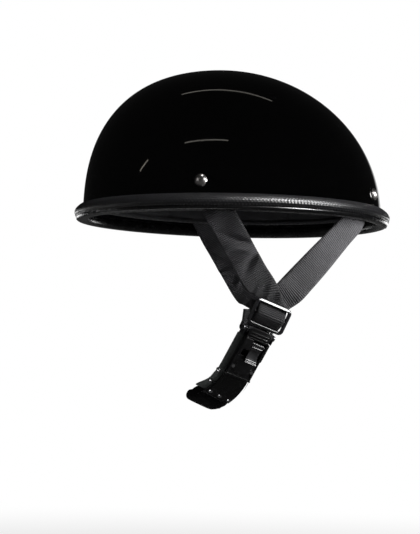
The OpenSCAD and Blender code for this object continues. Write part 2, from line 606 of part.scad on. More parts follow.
// Tongue: a toothed blade in the housing and a plate that follows the jaw
module buckle_tongue() {
    steps = 9;
    teeth = 4;
    pitch = 2.6;
    first = blade_reach - teeth * pitch - 1;
    color("#101012") difference() {
        union() {
            place(buckle_frame) translate([-blade_w / 2, 0, 0]) across() linear_extrude(blade_w)
                polygon(concat([[-3, tongue_low], [blade_reach, tongue_low], [blade_reach, tongue_top - 0.7]],
                    [for (k = [teeth - 1:-1:0]) each [[first + pitch * (k + 1), tongue_top - 0.7],
                        [first + pitch * (k + 1), tongue_top]]],
                    [[first, tongue_top - 0.7], [first - 0.5, tongue_top], [-3, tongue_top]]));
            loft([for (i = [0:steps]) let (f = jaw_frame(mix(tongue_end, 0.985, i / steps)),
                c = (tongue_low + tongue_top) / 2, h = tongue_t / 2, w = tongue_w / 2)
                [for (p = [[w, c - h], [w, c + h * 0.5], [w - 1, c + h], [-w + 1, c + h], [-w, c + h * 0.5],
                    [-w, c - h]]) in_frame(f, [p.x, 0, p.y])]]);
        }
        tongue_rivet_places() translate([0, 0, -6]) cylinder(h = 14, d = 2.1, $fn = 24);
    }
}
module tongue_rivet_places() {
    f = jaw_frame(rivet_line);
    for (x = [-9.6, 0, 9.6]) place([in_frame(f, [x, 0, 0]), f[1], f[2], f[3]]) children();
}
module small_rivet(low, high, head_d) {
    translate([0, 0, low - 0.9]) cylinder(h = high - low + 1.4, d = 2, $fn = 24);
    translate([0, 0, low - 0.95]) cylinder(h = 0.7, d = 3.4, $fn = 24);
    translate([0, 0, high + 0.15]) difference() {
        translate([0, 0, 1.1 - head_d * 0.62]) sphere(head_d * 0.62, $fn = 40);
        translate([0, 0, -2 * head_d]) cylinder(h = 2 * head_d, r = head_d, $fn = 24);
    }
}
module tongue_rivets() {
    color("#d0d0d4") tongue_rivet_places() small_rivet(guard_z - guard_t / 2, tongue_top, 4);
}

// Jaw guard: a thin band behind the buckle, with its front edge turned out
guard_path = concat([for (k = [0:8]) jaw_frame(mix(guard_start, 1, k / 8))],
    [for (s = [12, 24, arm_s - 0.5])
        [in_frame(buckle_frame, [0, s, 0]), buckle_frame[1], buckle_frame[2], buckle_frame[3]]]);
module jaw_guard() {
    front = -web_w / 2 - guard_front;
    top = [[front, 1], [front + 3.5, 0.3], [front + 7, 0], [buckle_w / 2 - 1, 0]];
    h = guard_t / 2;
    color("#2c302e") difference() {
        loft([for (f = guard_path) concat(
            [for (p = top) in_frame(f, [p.x, 0, guard_z - h + p.y])],
            [for (k = [3:-1:0]) in_frame(f, [top[k].x, 0, guard_z + h + top[k].y])])]);
        tongue_rivet_places() translate([0, 0, -6]) cylinder(h = 14, d = 2.1, $fn = 24);
        guard_rivet_places() translate([0, 0, -6]) cylinder(h = 14, d = 2.1, $fn = 24);
    }
}
module guard_rivet_places() {
    for (t = [0.78, 0.97]) {
        f = jaw_frame(t);
        place([in_frame(f, [-(web_w + guard_front) / 2, 0, guard_z]), f[1], f[2], f[3]]) children();
    }
}
module guard_rivets() {
    color("#d0d0d4") guard_rivet_places() small_rivet(-guard_t / 2, guard_t / 2 + 0.9, 4.2);
}

// Chin strap: webbing from the right glide, under the chin, to the tongue
chin_path = concat(
    [for (p = [[yoke_s + 1, 0.7], [yoke_s - 6.5, 1.8], [yoke_s - 16, 2.4], [16, 1.4], [6, web_z + 0.3]])
        [in_frame(mirror_frame(buckle_frame), [0, p.x, p.y]), flip(buckle_frame[1])]],
    [for (k = [0:20]) let (f = any_jaw_frame(mix(-0.97, web_end, k / 20)))
        [in_frame(f, [0, 0, web_z]), f[1]]]);
module chin_strap() {
    color("#26262a") difference() {
        webbing(chin_path);
        tongue_rivet_places() translate([0, 0, -6]) cylinder(h = 14, d = 2.1, $fn = 24);
    }
}

// Chin pad: a cushion round the strap, crowned towards the chin, with rounded ends
module chin_pad() {
    steps = 24;
    sides = 20;
    function swell(u) = pow(max(0, 1 - pow(abs(u), 5)), 0.5);
    function pad_loop(t, u) = let (
        f = any_jaw_frame(t), w = mix(web_w + 3.4, pad_w, swell(u)) / 2,
        rise = mix(web_t + 1.6, pad_rise, swell(u)),
        skin = mix(web_t / 2 + 0.9, web_t / 2 + pad_skin, swell(u)))
        [for (k = [0:sides - 1]) let (
            a = 360 * k / sides, c = cos(a), s = sin(a), half = c < 0 ? w - 2 * swell(u) : w)
            in_frame(f, [half * sign(c) * pow(abs(c), s > 0 ? 0.5 : 0.36), 0,
                web_z + (s > 0 ? skin : rise) * sign(s) * pow(abs(s), s > 0 ? 0.7 : 0.5)])];
    function slot_loop(t) = let (
        f = any_jaw_frame(t), w = web_w / 2 + 0.6, h = web_t / 2 + 0.4)
        [for (k = [0:sides - 1]) let (a = 360 * k / sides, c = cos(a), s = sin(a), m = max(abs(c), abs(s)))
            in_frame(f, [w * c / m, 0, web_z + h * s / m])];
    at = [for (k = [0:steps]) let (u = -1 + 2 * k / steps) [pad_end * u, u]];
    color("#0e0e10") hollow_loft([for (p = at) pad_loop(p.x, p.y * 0.97)], [for (p = at) slot_loop(p.x)]);
}

outer_shell();
edge_trim();
foam_liner();
comfort_liner();
liner_band();
strap_rivets();
rivet_washers();
left_front_strap();
left_rear_strap();
right_front_strap();
right_rear_strap();
left_glide();
right_glide();
buckle_housing();
buckle_base_plate();
buckle_bar();
housing_rivets();
buckle_lever();
lever_pin();
lever_spring();
buckle_tongue();
tongue_rivets();
jaw_guard();
guard_rivets();
chin_strap();
chin_pad();
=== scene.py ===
"""A low half-shell motorcycle helmet: finishes, soft parts and fine forms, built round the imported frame.

Lengths in the classes are in millimetres, in the same frame as the solids: +Z up, -Y the face, +X the side
of the buckle. Meshes are scaled to metres where they are made.
"""

import json
import logging
import math
from dataclasses import dataclass, field
from enum import Enum
from itertools import accumulate
from typing import Any, Callable, Iterable, Mapping, Sequence, Union

import bmesh
import bpy
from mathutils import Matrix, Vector, noise

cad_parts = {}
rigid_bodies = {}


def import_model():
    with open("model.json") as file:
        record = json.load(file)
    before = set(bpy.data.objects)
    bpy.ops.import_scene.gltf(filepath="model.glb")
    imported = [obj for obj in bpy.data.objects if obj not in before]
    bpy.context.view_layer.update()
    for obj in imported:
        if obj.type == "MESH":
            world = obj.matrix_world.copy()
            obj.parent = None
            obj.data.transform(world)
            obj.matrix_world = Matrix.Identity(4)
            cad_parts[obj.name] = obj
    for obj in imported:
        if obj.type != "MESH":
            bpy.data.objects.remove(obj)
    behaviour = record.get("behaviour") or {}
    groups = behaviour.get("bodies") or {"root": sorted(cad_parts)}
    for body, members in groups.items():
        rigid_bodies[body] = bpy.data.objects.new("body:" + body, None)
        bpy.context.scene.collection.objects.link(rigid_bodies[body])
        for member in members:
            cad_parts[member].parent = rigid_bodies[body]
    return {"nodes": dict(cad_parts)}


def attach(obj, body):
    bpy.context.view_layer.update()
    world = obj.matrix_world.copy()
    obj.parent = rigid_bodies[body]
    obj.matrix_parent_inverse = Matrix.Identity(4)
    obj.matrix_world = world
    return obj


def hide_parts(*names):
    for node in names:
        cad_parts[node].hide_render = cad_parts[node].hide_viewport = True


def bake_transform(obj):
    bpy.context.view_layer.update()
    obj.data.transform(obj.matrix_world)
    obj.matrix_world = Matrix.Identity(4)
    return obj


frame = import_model()
LOG = logging.getLogger("helmet")
MM = 0.001
Colour = tuple[float, float, float]
Pair = tuple[float, float]
Rows = list[list[Vector]]
Piece = bpy.types.Object
Looks = dict[str, Any]
Depth = Callable[[float, float], float]


class Body(str, Enum):
    """The moving bodies of the frame."""

    HELMET = "helmet"
    LEFT_GLIDE = "left_glide"
    RIGHT_GLIDE = "right_glide"
    LEVER = "lever"
    CHIN_BAND = "chin_band"


# ---------------------------------------------------------------- small geometry


def mix(a: Any, b: Any, t: float) -> Any:
    """Return the point or number a share t of the way from a to b."""
    return a + (b - a) * t


def ease(t: float) -> float:
    """Return a smooth step of t between 0 and 1."""
    c = min(1.0, max(0.0, t))
    return c * c * (3 - 2 * c)


def unit(v: Vector) -> Vector:
    """Return v at length 1."""
    return v.normalized()


def flip(v: Vector) -> Vector:
    """Return v mirrored to the other side of the head."""
    return Vector((-v.x, v.y, v.z))


def spline(points: Sequence[Any], parts: int) -> list[Any]:
    """Draw a smooth curve through points.

    Args:
        points: numbers or vectors that the curve passes.
        parts: steps from one point to the next.

    Returns:
        The points of the curve, with both ends kept.
    """
    last = len(points) - 1
    out = []
    for i in range(last):
        p0, p1, p2, p3 = points[max(i - 1, 0)], points[i], points[i + 1], points[min(i + 2, last)]
        for k in range(parts):
            t = k / parts
            out.append((p1 * 2 + (p2 - p0) * t + (p0 * 2 - p1 * 5 + p2 * 4 - p3) * (t * t)
                        + (p1 * 3 - p0 - p2 * 3 + p3) * (t * t * t)) * 0.5)
    return out + [points[last]]


def totals(steps: Iterable[float]) -> list[float]:
    """Return the running totals of steps, from nought."""
    return [0.0, *accumulate(steps)]


def rounded(corners: Sequence[Pair], radius: float, steps: int = 5) -> list[Pair]:
    """Round the corners of a closed outline.

    Args:
        corners: the corners in order.
        radius: how far before and after a corner its bend starts.
        steps: points in each bend.

    Returns:
        The points of the rounded outline.
    """
    out = []
    n = len(corners)
    for i in range(n):
        a, b, c = (Vector(corners[(i + k) % n]) for k in (-1, 0, 1))
        start = b + (a - b).normalized() * min(radius, (a - b).length * 0.49)
        end = b + (c - b).normalized() * min(radius, (c - b).length * 0.49)
        for k in range(steps + 1):
            t = k / steps
            p = start * (1 - t) ** 2 + b * (2 * t * (1 - t)) + end * t * t
            out.append((p.x, p.y))
    return out


def inset(outline: Sequence[Pair], depth: float) -> list[Pair]:
    """Move an outline inwards.

    Args:
        outline: its points, counter-clockwise.
        depth: how far each point moves.

    Returns:
        The points of the smaller outline.
    """
    n = len(outline)
    out = []
    for i in range(n):
        a, b, c = Vector(outline[i - 1]), Vector(outline[i]), Vector(outline[(i + 1) % n])
        d = (c - a).normalized()
        out.append((b.x - d.y * depth, b.y + d.x * depth))
    return out


@dataclass(frozen=True)
class Place:
    """A leaning frame: an origin, and the directions across, up and out of the face."""

    origin: Vector
    across: Vector
    up: Vector
    out: Vector

    @staticmethod
    def leaning(origin: Vector, back: float, out: float, turn: float) -> "Place":
        """Return a frame that leans and is turned, all in degrees.

        Args:
            origin: the frame's origin.
            back: how far its up direction leans back.
            out: how far its up direction leans out.
            turn: how far its face is turned to the rear.

        Returns:
            The frame.
        """
        up = unit(Vector((math.tan(math.radians(out)), math.tan(math.radians(back)), 1)))
        face = Vector((math.cos(math.radians(turn)), math.sin(math.radians(turn)), 0))
        across = unit(up.cross(face))
        return Place(origin, across, up, across.cross(up))

    def at(self, x: float, s: float, z: float) -> Vector:
        """Return the point x across, s up and z out."""
        return self.origin + self.across * x + self.up * s + self.out * z

    def mirrored(self) -> "Place":
        """Return the same place on the other side of the head."""
        return Place(flip(self.origin), flip(self.across), flip(self.up), flip(self.out))


@dataclass(frozen=True)
class Station:
    """One place on a strap: its middle and the direction across its width."""

    middle: Vector
    across: Vector

    def mirrored(self) -> "Station":
        """Return the same station on the other side of the head."""
        return Station(flip(self.middle), flip(self.across))


# ---------------------------------------------------------------- mesh makers


def finish_mesh(name: str, bm: bmesh.types.BMesh, sharp: float) -> Piece:
    """Turn a bmesh into a smooth-shaded object.

    Args:
        name: the object's name.
        bm: the mesh, in metres; it is freed.
        sharp: the angle in degrees past which an edge stays sharp.

    Returns:
        The object, linked to the scene.
    """
    bmesh.ops.recalc_face_normals(bm, faces=bm.faces)
    mesh = bpy.data.meshes.new(name)
    bm.to_mesh(mesh)
    bm.free()
    mesh.shade_smooth()
    mesh.set_sharp_from_angle(angle=math.radians(sharp))
    obj = bpy.data.objects.new(name, mesh)
    bpy.context.scene.collection.objects.link(obj)
    return obj


def skin(name: str, rows: Sequence[Sequence[Vector]], loop: bool = False, caps: bool = False,
         weft: Sequence[float] = (), warp: Sequence[float] = (), sharp: float = 50) -> Piece:
    """Lay a mesh over rows of points, each row closed round.

    Args:
        name: the object's name.
        rows: rows of points; a row of one point is a pole.
        loop: whether the last row meets the first.
        caps: whether the first and last rows are closed with a face.
        weft: a coordinate for each point of a row, and one more for the point that closes it.
        warp: a coordinate for each row, and one more if the rows loop.
        sharp: the angle in degrees past which an edge stays sharp.

    Returns:
        The object.
    """
    bm = bmesh.new()
    grid = [[bm.verts.new(p * MM) for p in row] for row in rows]
    cloth = bm.loops.layers.uv.new("cloth") if weft else None
    for i in range(len(rows) if loop else len(rows) - 1):
        low, high = grid[i], grid[(i + 1) % len(rows)]
        width = max(len(low), len(high))
        for j in range(width):
            corners = [(low, j, i), (low, j + 1, i), (high, j + 1, i + 1), (high, j, i + 1)]
            if len(low) == 1:
                corners.pop(0)
            elif len(high) == 1:
                corners.pop()
            face = bm.faces.new([row[k % len(row)] for row, k, _ in corners])
            if cloth:
                for corner, (_, k, r) in zip(face.loops, corners):
                    corner[cloth].uv = (weft[k], warp[r])
    if caps:
        bm.faces.new(list(reversed(grid[0])))
        bm.faces.new(grid[-1])
    return finish_mesh(name, bm, sharp)


def plate(name: str, place: Place, outline: Sequence[Pair], low: float, high: float, edge: float,
          crown: float = 0) -> Piece:
    """Make a plate with rolled edges.

    Args:
        name: the object's name.
        place: the frame that the outline lies in.
        outline: counter-clockwise points across and up.
        low: the height of its lower face.
        high: the height of its upper face.
        edge: the radius of its rolled edges.
        crown: how far the middle of the upper face rises.

    Returns:
        The object.
    """
    rows = []
    for level, lift, turns in ((low, edge, (90, 60, 30, 0)), (high, -edge, (0, 30, 60, 90))):
        for a in map(math.radians, turns):
            rows.append([place.at(x, s, level + lift * (1 - math.sin(a)))
                         for x, s in inset(outline, edge * (1 - math.cos(a)))])
    if crown:
        mx = sum(p[0] for p in outline) / len(outline)
        ms = sum(p[1] for p in outline) / len(outline)
        base = inset(outline, edge)
        for share in (0.75, 0.5, 0.25):
            level = high + crown * (1 - share * share)
            rows.append([place.at(mix(mx, x, share), mix(ms, s, share), level) for x, s in base])
    return skin(name, rows, caps=True, sharp=40)


def sweep(name: str, path: Sequence[Vector], radius: float, sides: int = 12, loop: bool = False) -> Piece:
    """Make a round wire along a path.

    Args:
        name: the object's name.
        path: the wire's middle line.
        radius: the wire's radius.
        sides: points round the wire.
        loop: whether the path is closed.

    Returns:
        The object.
    """
    rows = []
    n = len(path)
    side = Vector((0.3, 0.5, 0.8))
    for i in range(n):
        ahead = path[(i + 1) % n] if loop or i < n - 1 else path[i]
        behind = path[i - 1] if loop or i else path[i]
        t = unit(ahead - behind)
        side = unit(side - t * side.dot(t))
        other = t.cross(side)
        rows.append([path[i] + (side * math.cos(a) + other * math.sin(a)) * radius
                     for a in (math.tau * k / sides for k in range(sides))])
    return skin(name, rows, loop=loop, caps=not loop)


def worked(obj: Piece) -> bpy.types.Mesh:
    """Return an object's mesh with its modifiers worked in."""
    return bpy.data.meshes.new_from_object(obj.evaluated_get(bpy.context.evaluated_depsgraph_get()))


def softened(node: str, name: str, edge: float, angle: float = 32) -> Piece:
    """Make a piece from a solid's form, with every hard edge rolled over.

    Args:
        node: the solid's node.
        name: the new object's name.
        edge: the width of the rolled edges.
        angle: edges sharper than this many degrees are rolled.

    Returns:
        The object, with the modifiers worked into its mesh.
    """
    bm = bmesh.new()
    bm.from_mesh(frame["nodes"][node].data)
    bmesh.ops.remove_doubles(bm, verts=bm.verts, dist=2e-6)
    bmesh.ops.dissolve_limit(bm, angle_limit=math.radians(0.6), verts=bm.verts, edges=bm.edges)
    obj = finish_mesh(name + "_form", bm, 180)
    bevel = obj.modifiers.new("rolled", "BEVEL")
    bevel.width = edge * MM
    bevel.segments = 3
    bevel.limit_method = "ANGLE"
    bevel.angle_limit = math.radians(angle)
    bevel.use_clamp_overlap = False
    bevel.miter_outer = "MITER_ARC"
    mesh = worked(obj)
    bpy.data.objects.remove(obj)
    mesh.name = name
    mesh.shade_smooth()
    mesh.set_sharp_from_angle(angle=math.radians(38))
    out = bpy.data.objects.new(name, mesh)
    bpy.context.scene.collection.objects.link(out)
    return out


def beads(name: str, places: Sequence[tuple[Vector, Vector, Vector]], length: float, radius: float) -> Piece:
    """Make a row of stitches, each a short rounded bead.

    Args:
        name: the object's name.
        places: for each stitch its middle, its direction and the direction out of the cloth.
        length: the length of a stitch.
        radius: half of its thickness.

    Returns:
        The object.
    """
    bm, sides = bmesh.new(), 6
    for middle, along, out in places:
        side = unit(along.cross(out))
        rings = []
        for k, r in ((-0.5, 0.35), (-0.3, 0.95), (0, 1.05), (0.3, 0.95), (0.5, 0.35)):
            turns = (math.tau * j / sides for j in range(sides))
            spokes = [(side * math.cos(a) + out * math.sin(a)) * (r * radius) for a in turns]
            rings.append([bm.verts.new((middle + along * (k * length) + spoke) * MM) for spoke in spokes])
        for low, high in zip(rings, rings[1:]):
            for j in range(sides):
                bm.faces.new([low[j], low[(j + 1) % sides], high[(j + 1) % sides], high[j]])
        bm.faces.new(list(reversed(rings[0])))
        bm.faces.new(rings[-1])
    return finish_mesh(name, bm, 60)


# ---------------------------------------------------------------- shader writing


class Wire:
    """A node's socket, on which Python's operators add the nodes that work them out."""

    def __init__(self, graph: "Graph", socket: bpy.types.NodeSocket) -> None:
        """Keep the graph and the socket."""
        self.graph = graph
        self.socket = socket

    def port(self, name: str) -> "Wire":
        """Return another output of the same node."""
        return Wire(self.graph, self.socket.node.outputs[name])

    def math(self, operation: str, other: Any = None) -> "Wire":
        """Return a Math node's result with this value first."""
        values = {0: self} if other is None else {0: self, 1: other}
        return self.graph.node("ShaderNodeMath", {"operation": operation}, values)

    def work(self, operation: str, other: Any, flipped: bool = False) -> "Wire":
        """Work out one operator with the node that suits this socket.

        Args:
            operation: ADD, SUBTRACT, MULTIPLY or DIVIDE.
            other: the other side, a number, a tuple or a wire.
            flipped: whether the other side comes first.

        Returns:
            The result.
        """
        first, second = (other, self) if flipped else (self, other)
        kinds = {w.socket.type for w in (first, second) if isinstance(w, Wire)}
        if "RGBA" in kinds:
            return self.graph.node("ShaderNodeMix", {"data_type": "RGBA", "blend_type": operation},
                                   {0: 1.0, 6: first, 7: second}, 2)
        if "VECTOR" in kinds and operation == "MULTIPLY" and isinstance(other, (int, float)):
            return self.graph.node("ShaderNodeVectorMath", {"operation": "SCALE"}, {0: self, 3: other})
        kind = "ShaderNodeVectorMath" if "VECTOR" in kinds else "ShaderNodeMath"
        return self.graph.node(kind, {"operation": operation}, {0: first, 1: second})

    def __add__(self, other: Any) -> "Wire":
        """Return self + other."""
        return self.work("ADD", other)

    def __radd__(self, other: Any) -> "Wire":
        """Return other + self."""
        return self.work("ADD", other, True)

    def __sub__(self, other: Any) -> "Wire":
        """Return self - other."""
        return self.work("SUBTRACT", other)

    def __rsub__(self, other: Any) -> "Wire":
        """Return other - self."""
        return self.work("SUBTRACT", other, True)

    def __mul__(self, other: Any) -> "Wire":
        """Return self * other."""
        return self.work("MULTIPLY", other)

    def __rmul__(self, other: Any) -> "Wire":
        """Return other * self."""
        return self.work("MULTIPLY", other)

    def __truediv__(self, other: Any) -> "Wire":
        """Return self / other."""
        return self.work("DIVIDE", other)

    def step(self, low: float, high: float, start: float = 0, end: float = 1) -> "Wire":
        """Return a smooth change from start to end as this value goes from low to high."""
        return self.graph.node("ShaderNodeMapRange", {"interpolation_type": "SMOOTHSTEP"},
                               {0: self, 1: low, 2: high, 3: start, 4: end})


class Graph:
    """A material's or the world's node tree."""

    def __init__(self, tree: bpy.types.NodeTree) -> None:
        """Empty the tree and keep it."""
        tree.nodes.clear()
        self.tree = tree

    def node(self, kind: str, settings: Mapping[str, Any] = {}, sockets: Mapping[Union[str, int], Any] = {},
             out: Union[str, int] = 0) -> Wire:
        """Add a node.

        Args:
            kind: the node's type.
            settings: its settings, set first; "stops" are a ramp's (place, colour) pairs.
            sockets: values or wires for its inputs, by name or number.
            out: the output to return.

        Returns:
            The wire of that output.
        """
        made = self.tree.nodes.new(kind)
        for key, value in settings.items():
            if key == "stops":
                ramp = made.color_ramp
                for k, (place, colour) in enumerate(value):
                    stop = ramp.elements[k] if k < 2 else ramp.elements.new(place)
                    stop.position = place
                    stop.color = (*colour, 1)
            else:
                setattr(made, key, value)
        for key, value in sockets.items():
            if isinstance(value, Wire):
                self.tree.links.new(value.socket, made.inputs[key])
            elif isinstance(value, tuple) and len(value) == 3 and made.inputs[key].type == "RGBA":
                made.inputs[key].default_value = (*value, 1)
            else:
                made.inputs[key].default_value = value
        return Wire(self, made.outputs[out]) if len(made.outputs) else Wire(self, made.inputs[0])

    def place_mm(self) -> Wire:
        """Return the surface's place in millimetres."""
        return self.node("ShaderNodeTexCoord", out="Object") * 1000.0

    def cloth_mm(self) -> tuple[Wire, Wire]:
        """Return how far across and how far along a woven piece a point lies, in millimetres."""
        parts = self.node("ShaderNodeSeparateXYZ", {}, {0: self.node("ShaderNodeUVMap", {"uv_map": "cloth"})})
        return parts.port("X"), parts.port("Y")

    def noise(self, where: Wire, size: float, detail: float = 3, rough: float = 0.5) -> Wire:
        """Return noise from 0 to 1 whose patches are about size millimetres."""
        return self.node("ShaderNodeTexNoise", {"normalize": True},
                         {"Vector": where, "Scale": 1 / size, "Detail": detail, "Roughness": rough})

    def blend(self, share: Any, first: Any, second: Any) -> Wire:
        """Return a colour a share of the way from first to second."""
        return self.node("ShaderNodeMix", {"data_type": "RGBA"}, {0: share, 6: first, 7: second}, 2)

    def bump(self, height: Any, distance: float, strength: float = 1) -> Wire:
        """Return a normal bent by a height map, whose full height is distance in millimetres."""
        values = {"Height": height, "Distance": distance * MM, "Strength": strength}
        return self.node("ShaderNodeBump", {}, values)

    def surface(self, shader: Wire) -> None:
        """Send a shader to the output."""
        self.node("ShaderNodeOutputMaterial", {}, {"Surface": shader})


@dataclass(frozen=True)
class Finish:
    """What every finish has: a slot name and the sockets that are the same all over."""

    slot: str
    colour: Colour = (0.02, 0.02, 0.02)
    rough: float = 0.4
    metal: float = 0
    specular: float = 0.5
    sheen: float = 0
    sheen_rough: float = 0.4
    coat: float = 0
    coat_rough: float = 0.08

    def look(self, g: Graph) -> Looks:
        """Return the sockets that change over the surface."""
        return {}

    def shade(self, strength: float, lift: float = 0) -> Colour:
        """Return this finish's colour, times strength."""
        return tuple(c * strength + lift for c in self.colour)

    def material(self) -> bpy.types.Material:
        """Make this finish's material, once.

        Returns:
            The material.
        """
        name = self.slot + "_finish"
        if name in bpy.data.materials:
            return bpy.data.materials[name]
        mat = bpy.data.materials.new(name)
        mat.use_nodes = True
        g = Graph(mat.node_tree)
        sockets = {"Base Color": self.colour, "Roughness": self.rough, "Metallic": self.metal,
                   "Specular IOR Level": self.specular, "Sheen Weight": self.sheen,
                   "Sheen Roughness": self.sheen_rough, "Coat Weight": self.coat,
                   "Coat Roughness": self.coat_rough}
        sockets.update(self.look(g))
        g.surface(g.node("ShaderNodeBsdfPrincipled", {}, sockets))
        return mat

    def put_on(self, obj: Piece) -> None:
        """Dress an object in this finish."""
        obj.data.materials.clear()
        obj.data.materials.append(self.material())


@dataclass(frozen=True)
class Lacquer(Finish):
    """Deep gloss lacquer with a trace of waviness and dust."""

    cloud: float = 40
    ripple: float = 6
    dust: float = 0.8
    dust_grey: Colour = (0.03, 0.03, 0.032)

    def look(self, g: Graph) -> Looks:
        """Vary the gloss a little and ripple the surface as sprayed lacquer does.

        Args:
            g: the material's nodes.

        Returns:
            The sockets that change over the surface.
        """
        where = g.place_mm()
        cloud = g.noise(where, self.cloud, 4)
        ripple = g.noise(where, self.ripple, 1)
        dust = g.noise(where, self.dust, 1).step(0.74, 0.8)
        return {"Base Color": g.blend(dust * 0.25, self.colour, self.dust_grey),
                "Roughness": cloud.step(0.35, 0.8, self.rough, self.rough + 0.05),
                "Normal": g.bump(ripple, 0.012, 0.35)}


@dataclass(frozen=True)
class Pebbled(Finish):
    """Soft vinyl with a fine grain, scuffed where hands rub it; its raised dots are in the mesh and are
    painted lighter as a highlight.
    """

    dotted: Pair = (1.0, 15.2)
    pitch: float = 2.9
    row: float = 1.95
    squeeze: float = 1.1
    grain: float = 0.3
    patch: float = 9
    # the raised dots' colour: a painted highlight
    dot_highlight_grey: Colour = (0.018, 0.018, 0.0195)
    scuff_grey: Colour = (0.012, 0.012, 0.013)

    def look(self, g: Graph) -> Looks:
        """Grain the vinyl, scuff it along its run, paint the raised dots lighter than the gaps as a painted
        highlight, and dull the pebbled band a little.

        Args:
            g: the material's nodes.

        Returns:
            The sockets that change over the surface.
        """
        across, along = g.cloth_mm()
        first, last = self.dotted
        band = across.step(first - 0.4, first + 0.4) * across.step(last - 0.8, last, 1, 0)
        row = (across / self.row).math("ROUND")
        shift = along / self.pitch + row.math("MODULO", 2.0) * 0.5
        gap = (shift - shift.math("ROUND")) * self.pitch
        off = (across - row * self.row) * self.squeeze
        dot = (gap * gap + off * off).math("SQRT").step(0.25, 1.1, 1, 0) * band
        grain = g.noise(g.place_mm(), self.grain, 2)
        patch = g.noise(g.place_mm(), self.patch, 4)
        drawn = g.node("ShaderNodeCombineXYZ", {}, {0: across * 2.0, 1: along * 0.3, 2: 0.0})
        scuff = g.noise(drawn, 3.0, 4).step(0.58, 0.8)
        # the raised dots are painted lighter than the gaps between them: a painted highlight
        tone = g.blend(dot, self.colour, self.dot_highlight_grey)
        return {"Base Color": g.blend(scuff * 0.3, tone, self.scuff_grey),
                "Roughness": (band - dot) * 0.07 + patch * 0.08 + (self.rough + grain * 0.06),
                "Normal": g.bump(grain, 0.05, 0.7)}


@dataclass(frozen=True)
class Webbing(Finish):
    """Woven nylon: ribs across the width, made of slanting threads, with firmer edges."""

    rib: float = 1.65
    thread: float = 0.62
    twist: float = 0.45
    half: float = 12.7
    cloud: float = 12
    fuzz: float = 0.5
    relief: float = 0.5
    # the run along which the web darkens to half: a painted shade
    painted_shade_run: Pair = (84, 118)

    def look(self, g: Graph) -> Looks:
        """Weave the ribs and threads, paint the rib crests lighter and their valleys darker as painted light
        and shade, and darken the web's lower run with painted shade.

        Args:
            g: the material's nodes.

        Returns:
            The sockets that change over the surface.
        """
        across, along = g.cloth_mm()
        wave = (along * (math.pi / self.rib)).math("SINE").math("ABSOLUTE")
        slant = ((across * 1.0 + along * self.twist) * (math.pi / self.thread)).math("SINE").math("ABSOLUTE")
        edge = across.math("ABSOLUTE").step(self.half - 1.5, self.half - 0.7)
        body = 1 - edge
        height = wave * body * 0.7 + slant * 0.3
        cloud = g.noise(g.place_mm(), self.cloud, 3)
        fuzz = g.noise(g.place_mm(), self.fuzz, 2)
        # the rib crests are painted light and the valleys dark, a painted light and shade; the slanting
        # threads and the cloud are the web's own tone
        shade = wave * wave * (0.4 + body * 0.45) + slant * 0.1 + (cloud - 0.4) * 0.7
        # painted shade: past this run the web's colour falls to half
        shade = shade * along.step(*self.painted_shade_run, 1, 0.5)
        return {"Base Color": g.blend(shade, self.shade(0.08), self.shade(2.6)),
                "Roughness": self.rough + fuzz * 0.15,
                "Normal": g.bump(height + fuzz * 0.15, self.relief)}


@dataclass(frozen=True)
class BlackMetal(Finish):
    """Black coated metal, faintly clouded, with rubbed spots."""

    rub: float = 5
    grain: float = 0.6
    relief: float = 0.015

    def look(self, g: Graph) -> Looks:
        """Give the coating its grain and its rubbed spots.

        Args:
            g: the material's nodes.

        Returns:
            The sockets that change over the surface.
        """
        where = g.place_mm()
        rub = g.noise(where, self.rub, 5, 0.65)
        grain = g.noise(where, self.grain, 2)
        worn = rub.step(0.62, 0.8)
        return {"Base Color": g.blend(worn * 0.6, self.colour, self.shade(2.5, 0.01)),
                "Roughness": self.rough + rub * 0.12 + grain * 0.05,
                "Normal": g.bump(grain, self.relief, 0.6)}


@dataclass(frozen=True)
class BareMetal(Finish):
    """Plated steel with faint drawn lines and dull spots."""

    line: float = 0.25
    spot: float = 2.5
    relief: float = 0.006

    def look(self, g: Graph) -> Looks:
        """Draw the lines and spots.

        Args:
            g: the material's nodes.

        Returns:
            The sockets that change over the surface.
        """
        where = g.place_mm()
        drawn = g.noise(where, self.line, 2)
        spot = g.noise(where, self.spot, 4, 0.6).step(0.5, 0.8)
        return {"Base Color": g.blend(spot, self.colour, self.shade(0.55)),
                "Roughness": self.rough + spot * 0.15 + drawn * 0.04,
                "Normal": g.bump(drawn, self.relief, 0.5)}


@dataclass(frozen=True)
class Cloth(Finish):
    """Brushed or knitted cloth with a fine pile."""

    loop: float = 0.9
    fibre: float = 0.35
    cloud: float = 16
    pile: float = 0.12

    def look(self, g: Graph) -> Looks:
        """Knit the loops, brush the pile and fade the crowns.

        Args:
            g: the material's nodes.

        Returns:
            The sockets that change over the surface.
        """
        where = g.place_mm()
        knit = g.node("ShaderNodeTexVoronoi", {},
                      {"Vector": where, "Scale": 1 / self.loop, "Randomness": 0.55})
        pile = g.noise(where, self.fibre, 3, 0.6)
        cloud = g.noise(where, self.cloud, 3)
        return {"Base Color": g.blend(cloud * 0.6 + pile * 0.4, self.shade(0.5), self.shade(1.9)),
                "Roughness": self.rough + pile * 0.1,
                "Normal": g.bump(knit * 0.7 + pile * 0.5, self.pile, 0.8)}


@dataclass(frozen=True)
class BeadFoam(Finish):
    """Foam moulded from fused beads."""

    bead_scale: float = 0.33
    relief: float = 0.15

    def look(self, g: Graph) -> Looks:
        """Show the beads and the dark lines between them.

        Args:
            g: the material's nodes.

        Returns:
            The sockets that change over the surface.
        """
        where = g.place_mm()
        bead = g.node("ShaderNodeTexVoronoi", {"feature": "DISTANCE_TO_EDGE"},
                      {"Vector": where, "Scale": self.bead_scale, "Randomness": 0.9})
        gap = bead.step(0, 0.12, 1, 0)
        return {"Base Color": g.blend(gap, self.colour, self.shade(0.4)),
                "Normal": g.bump(1 - gap, self.relief, 0.7)}


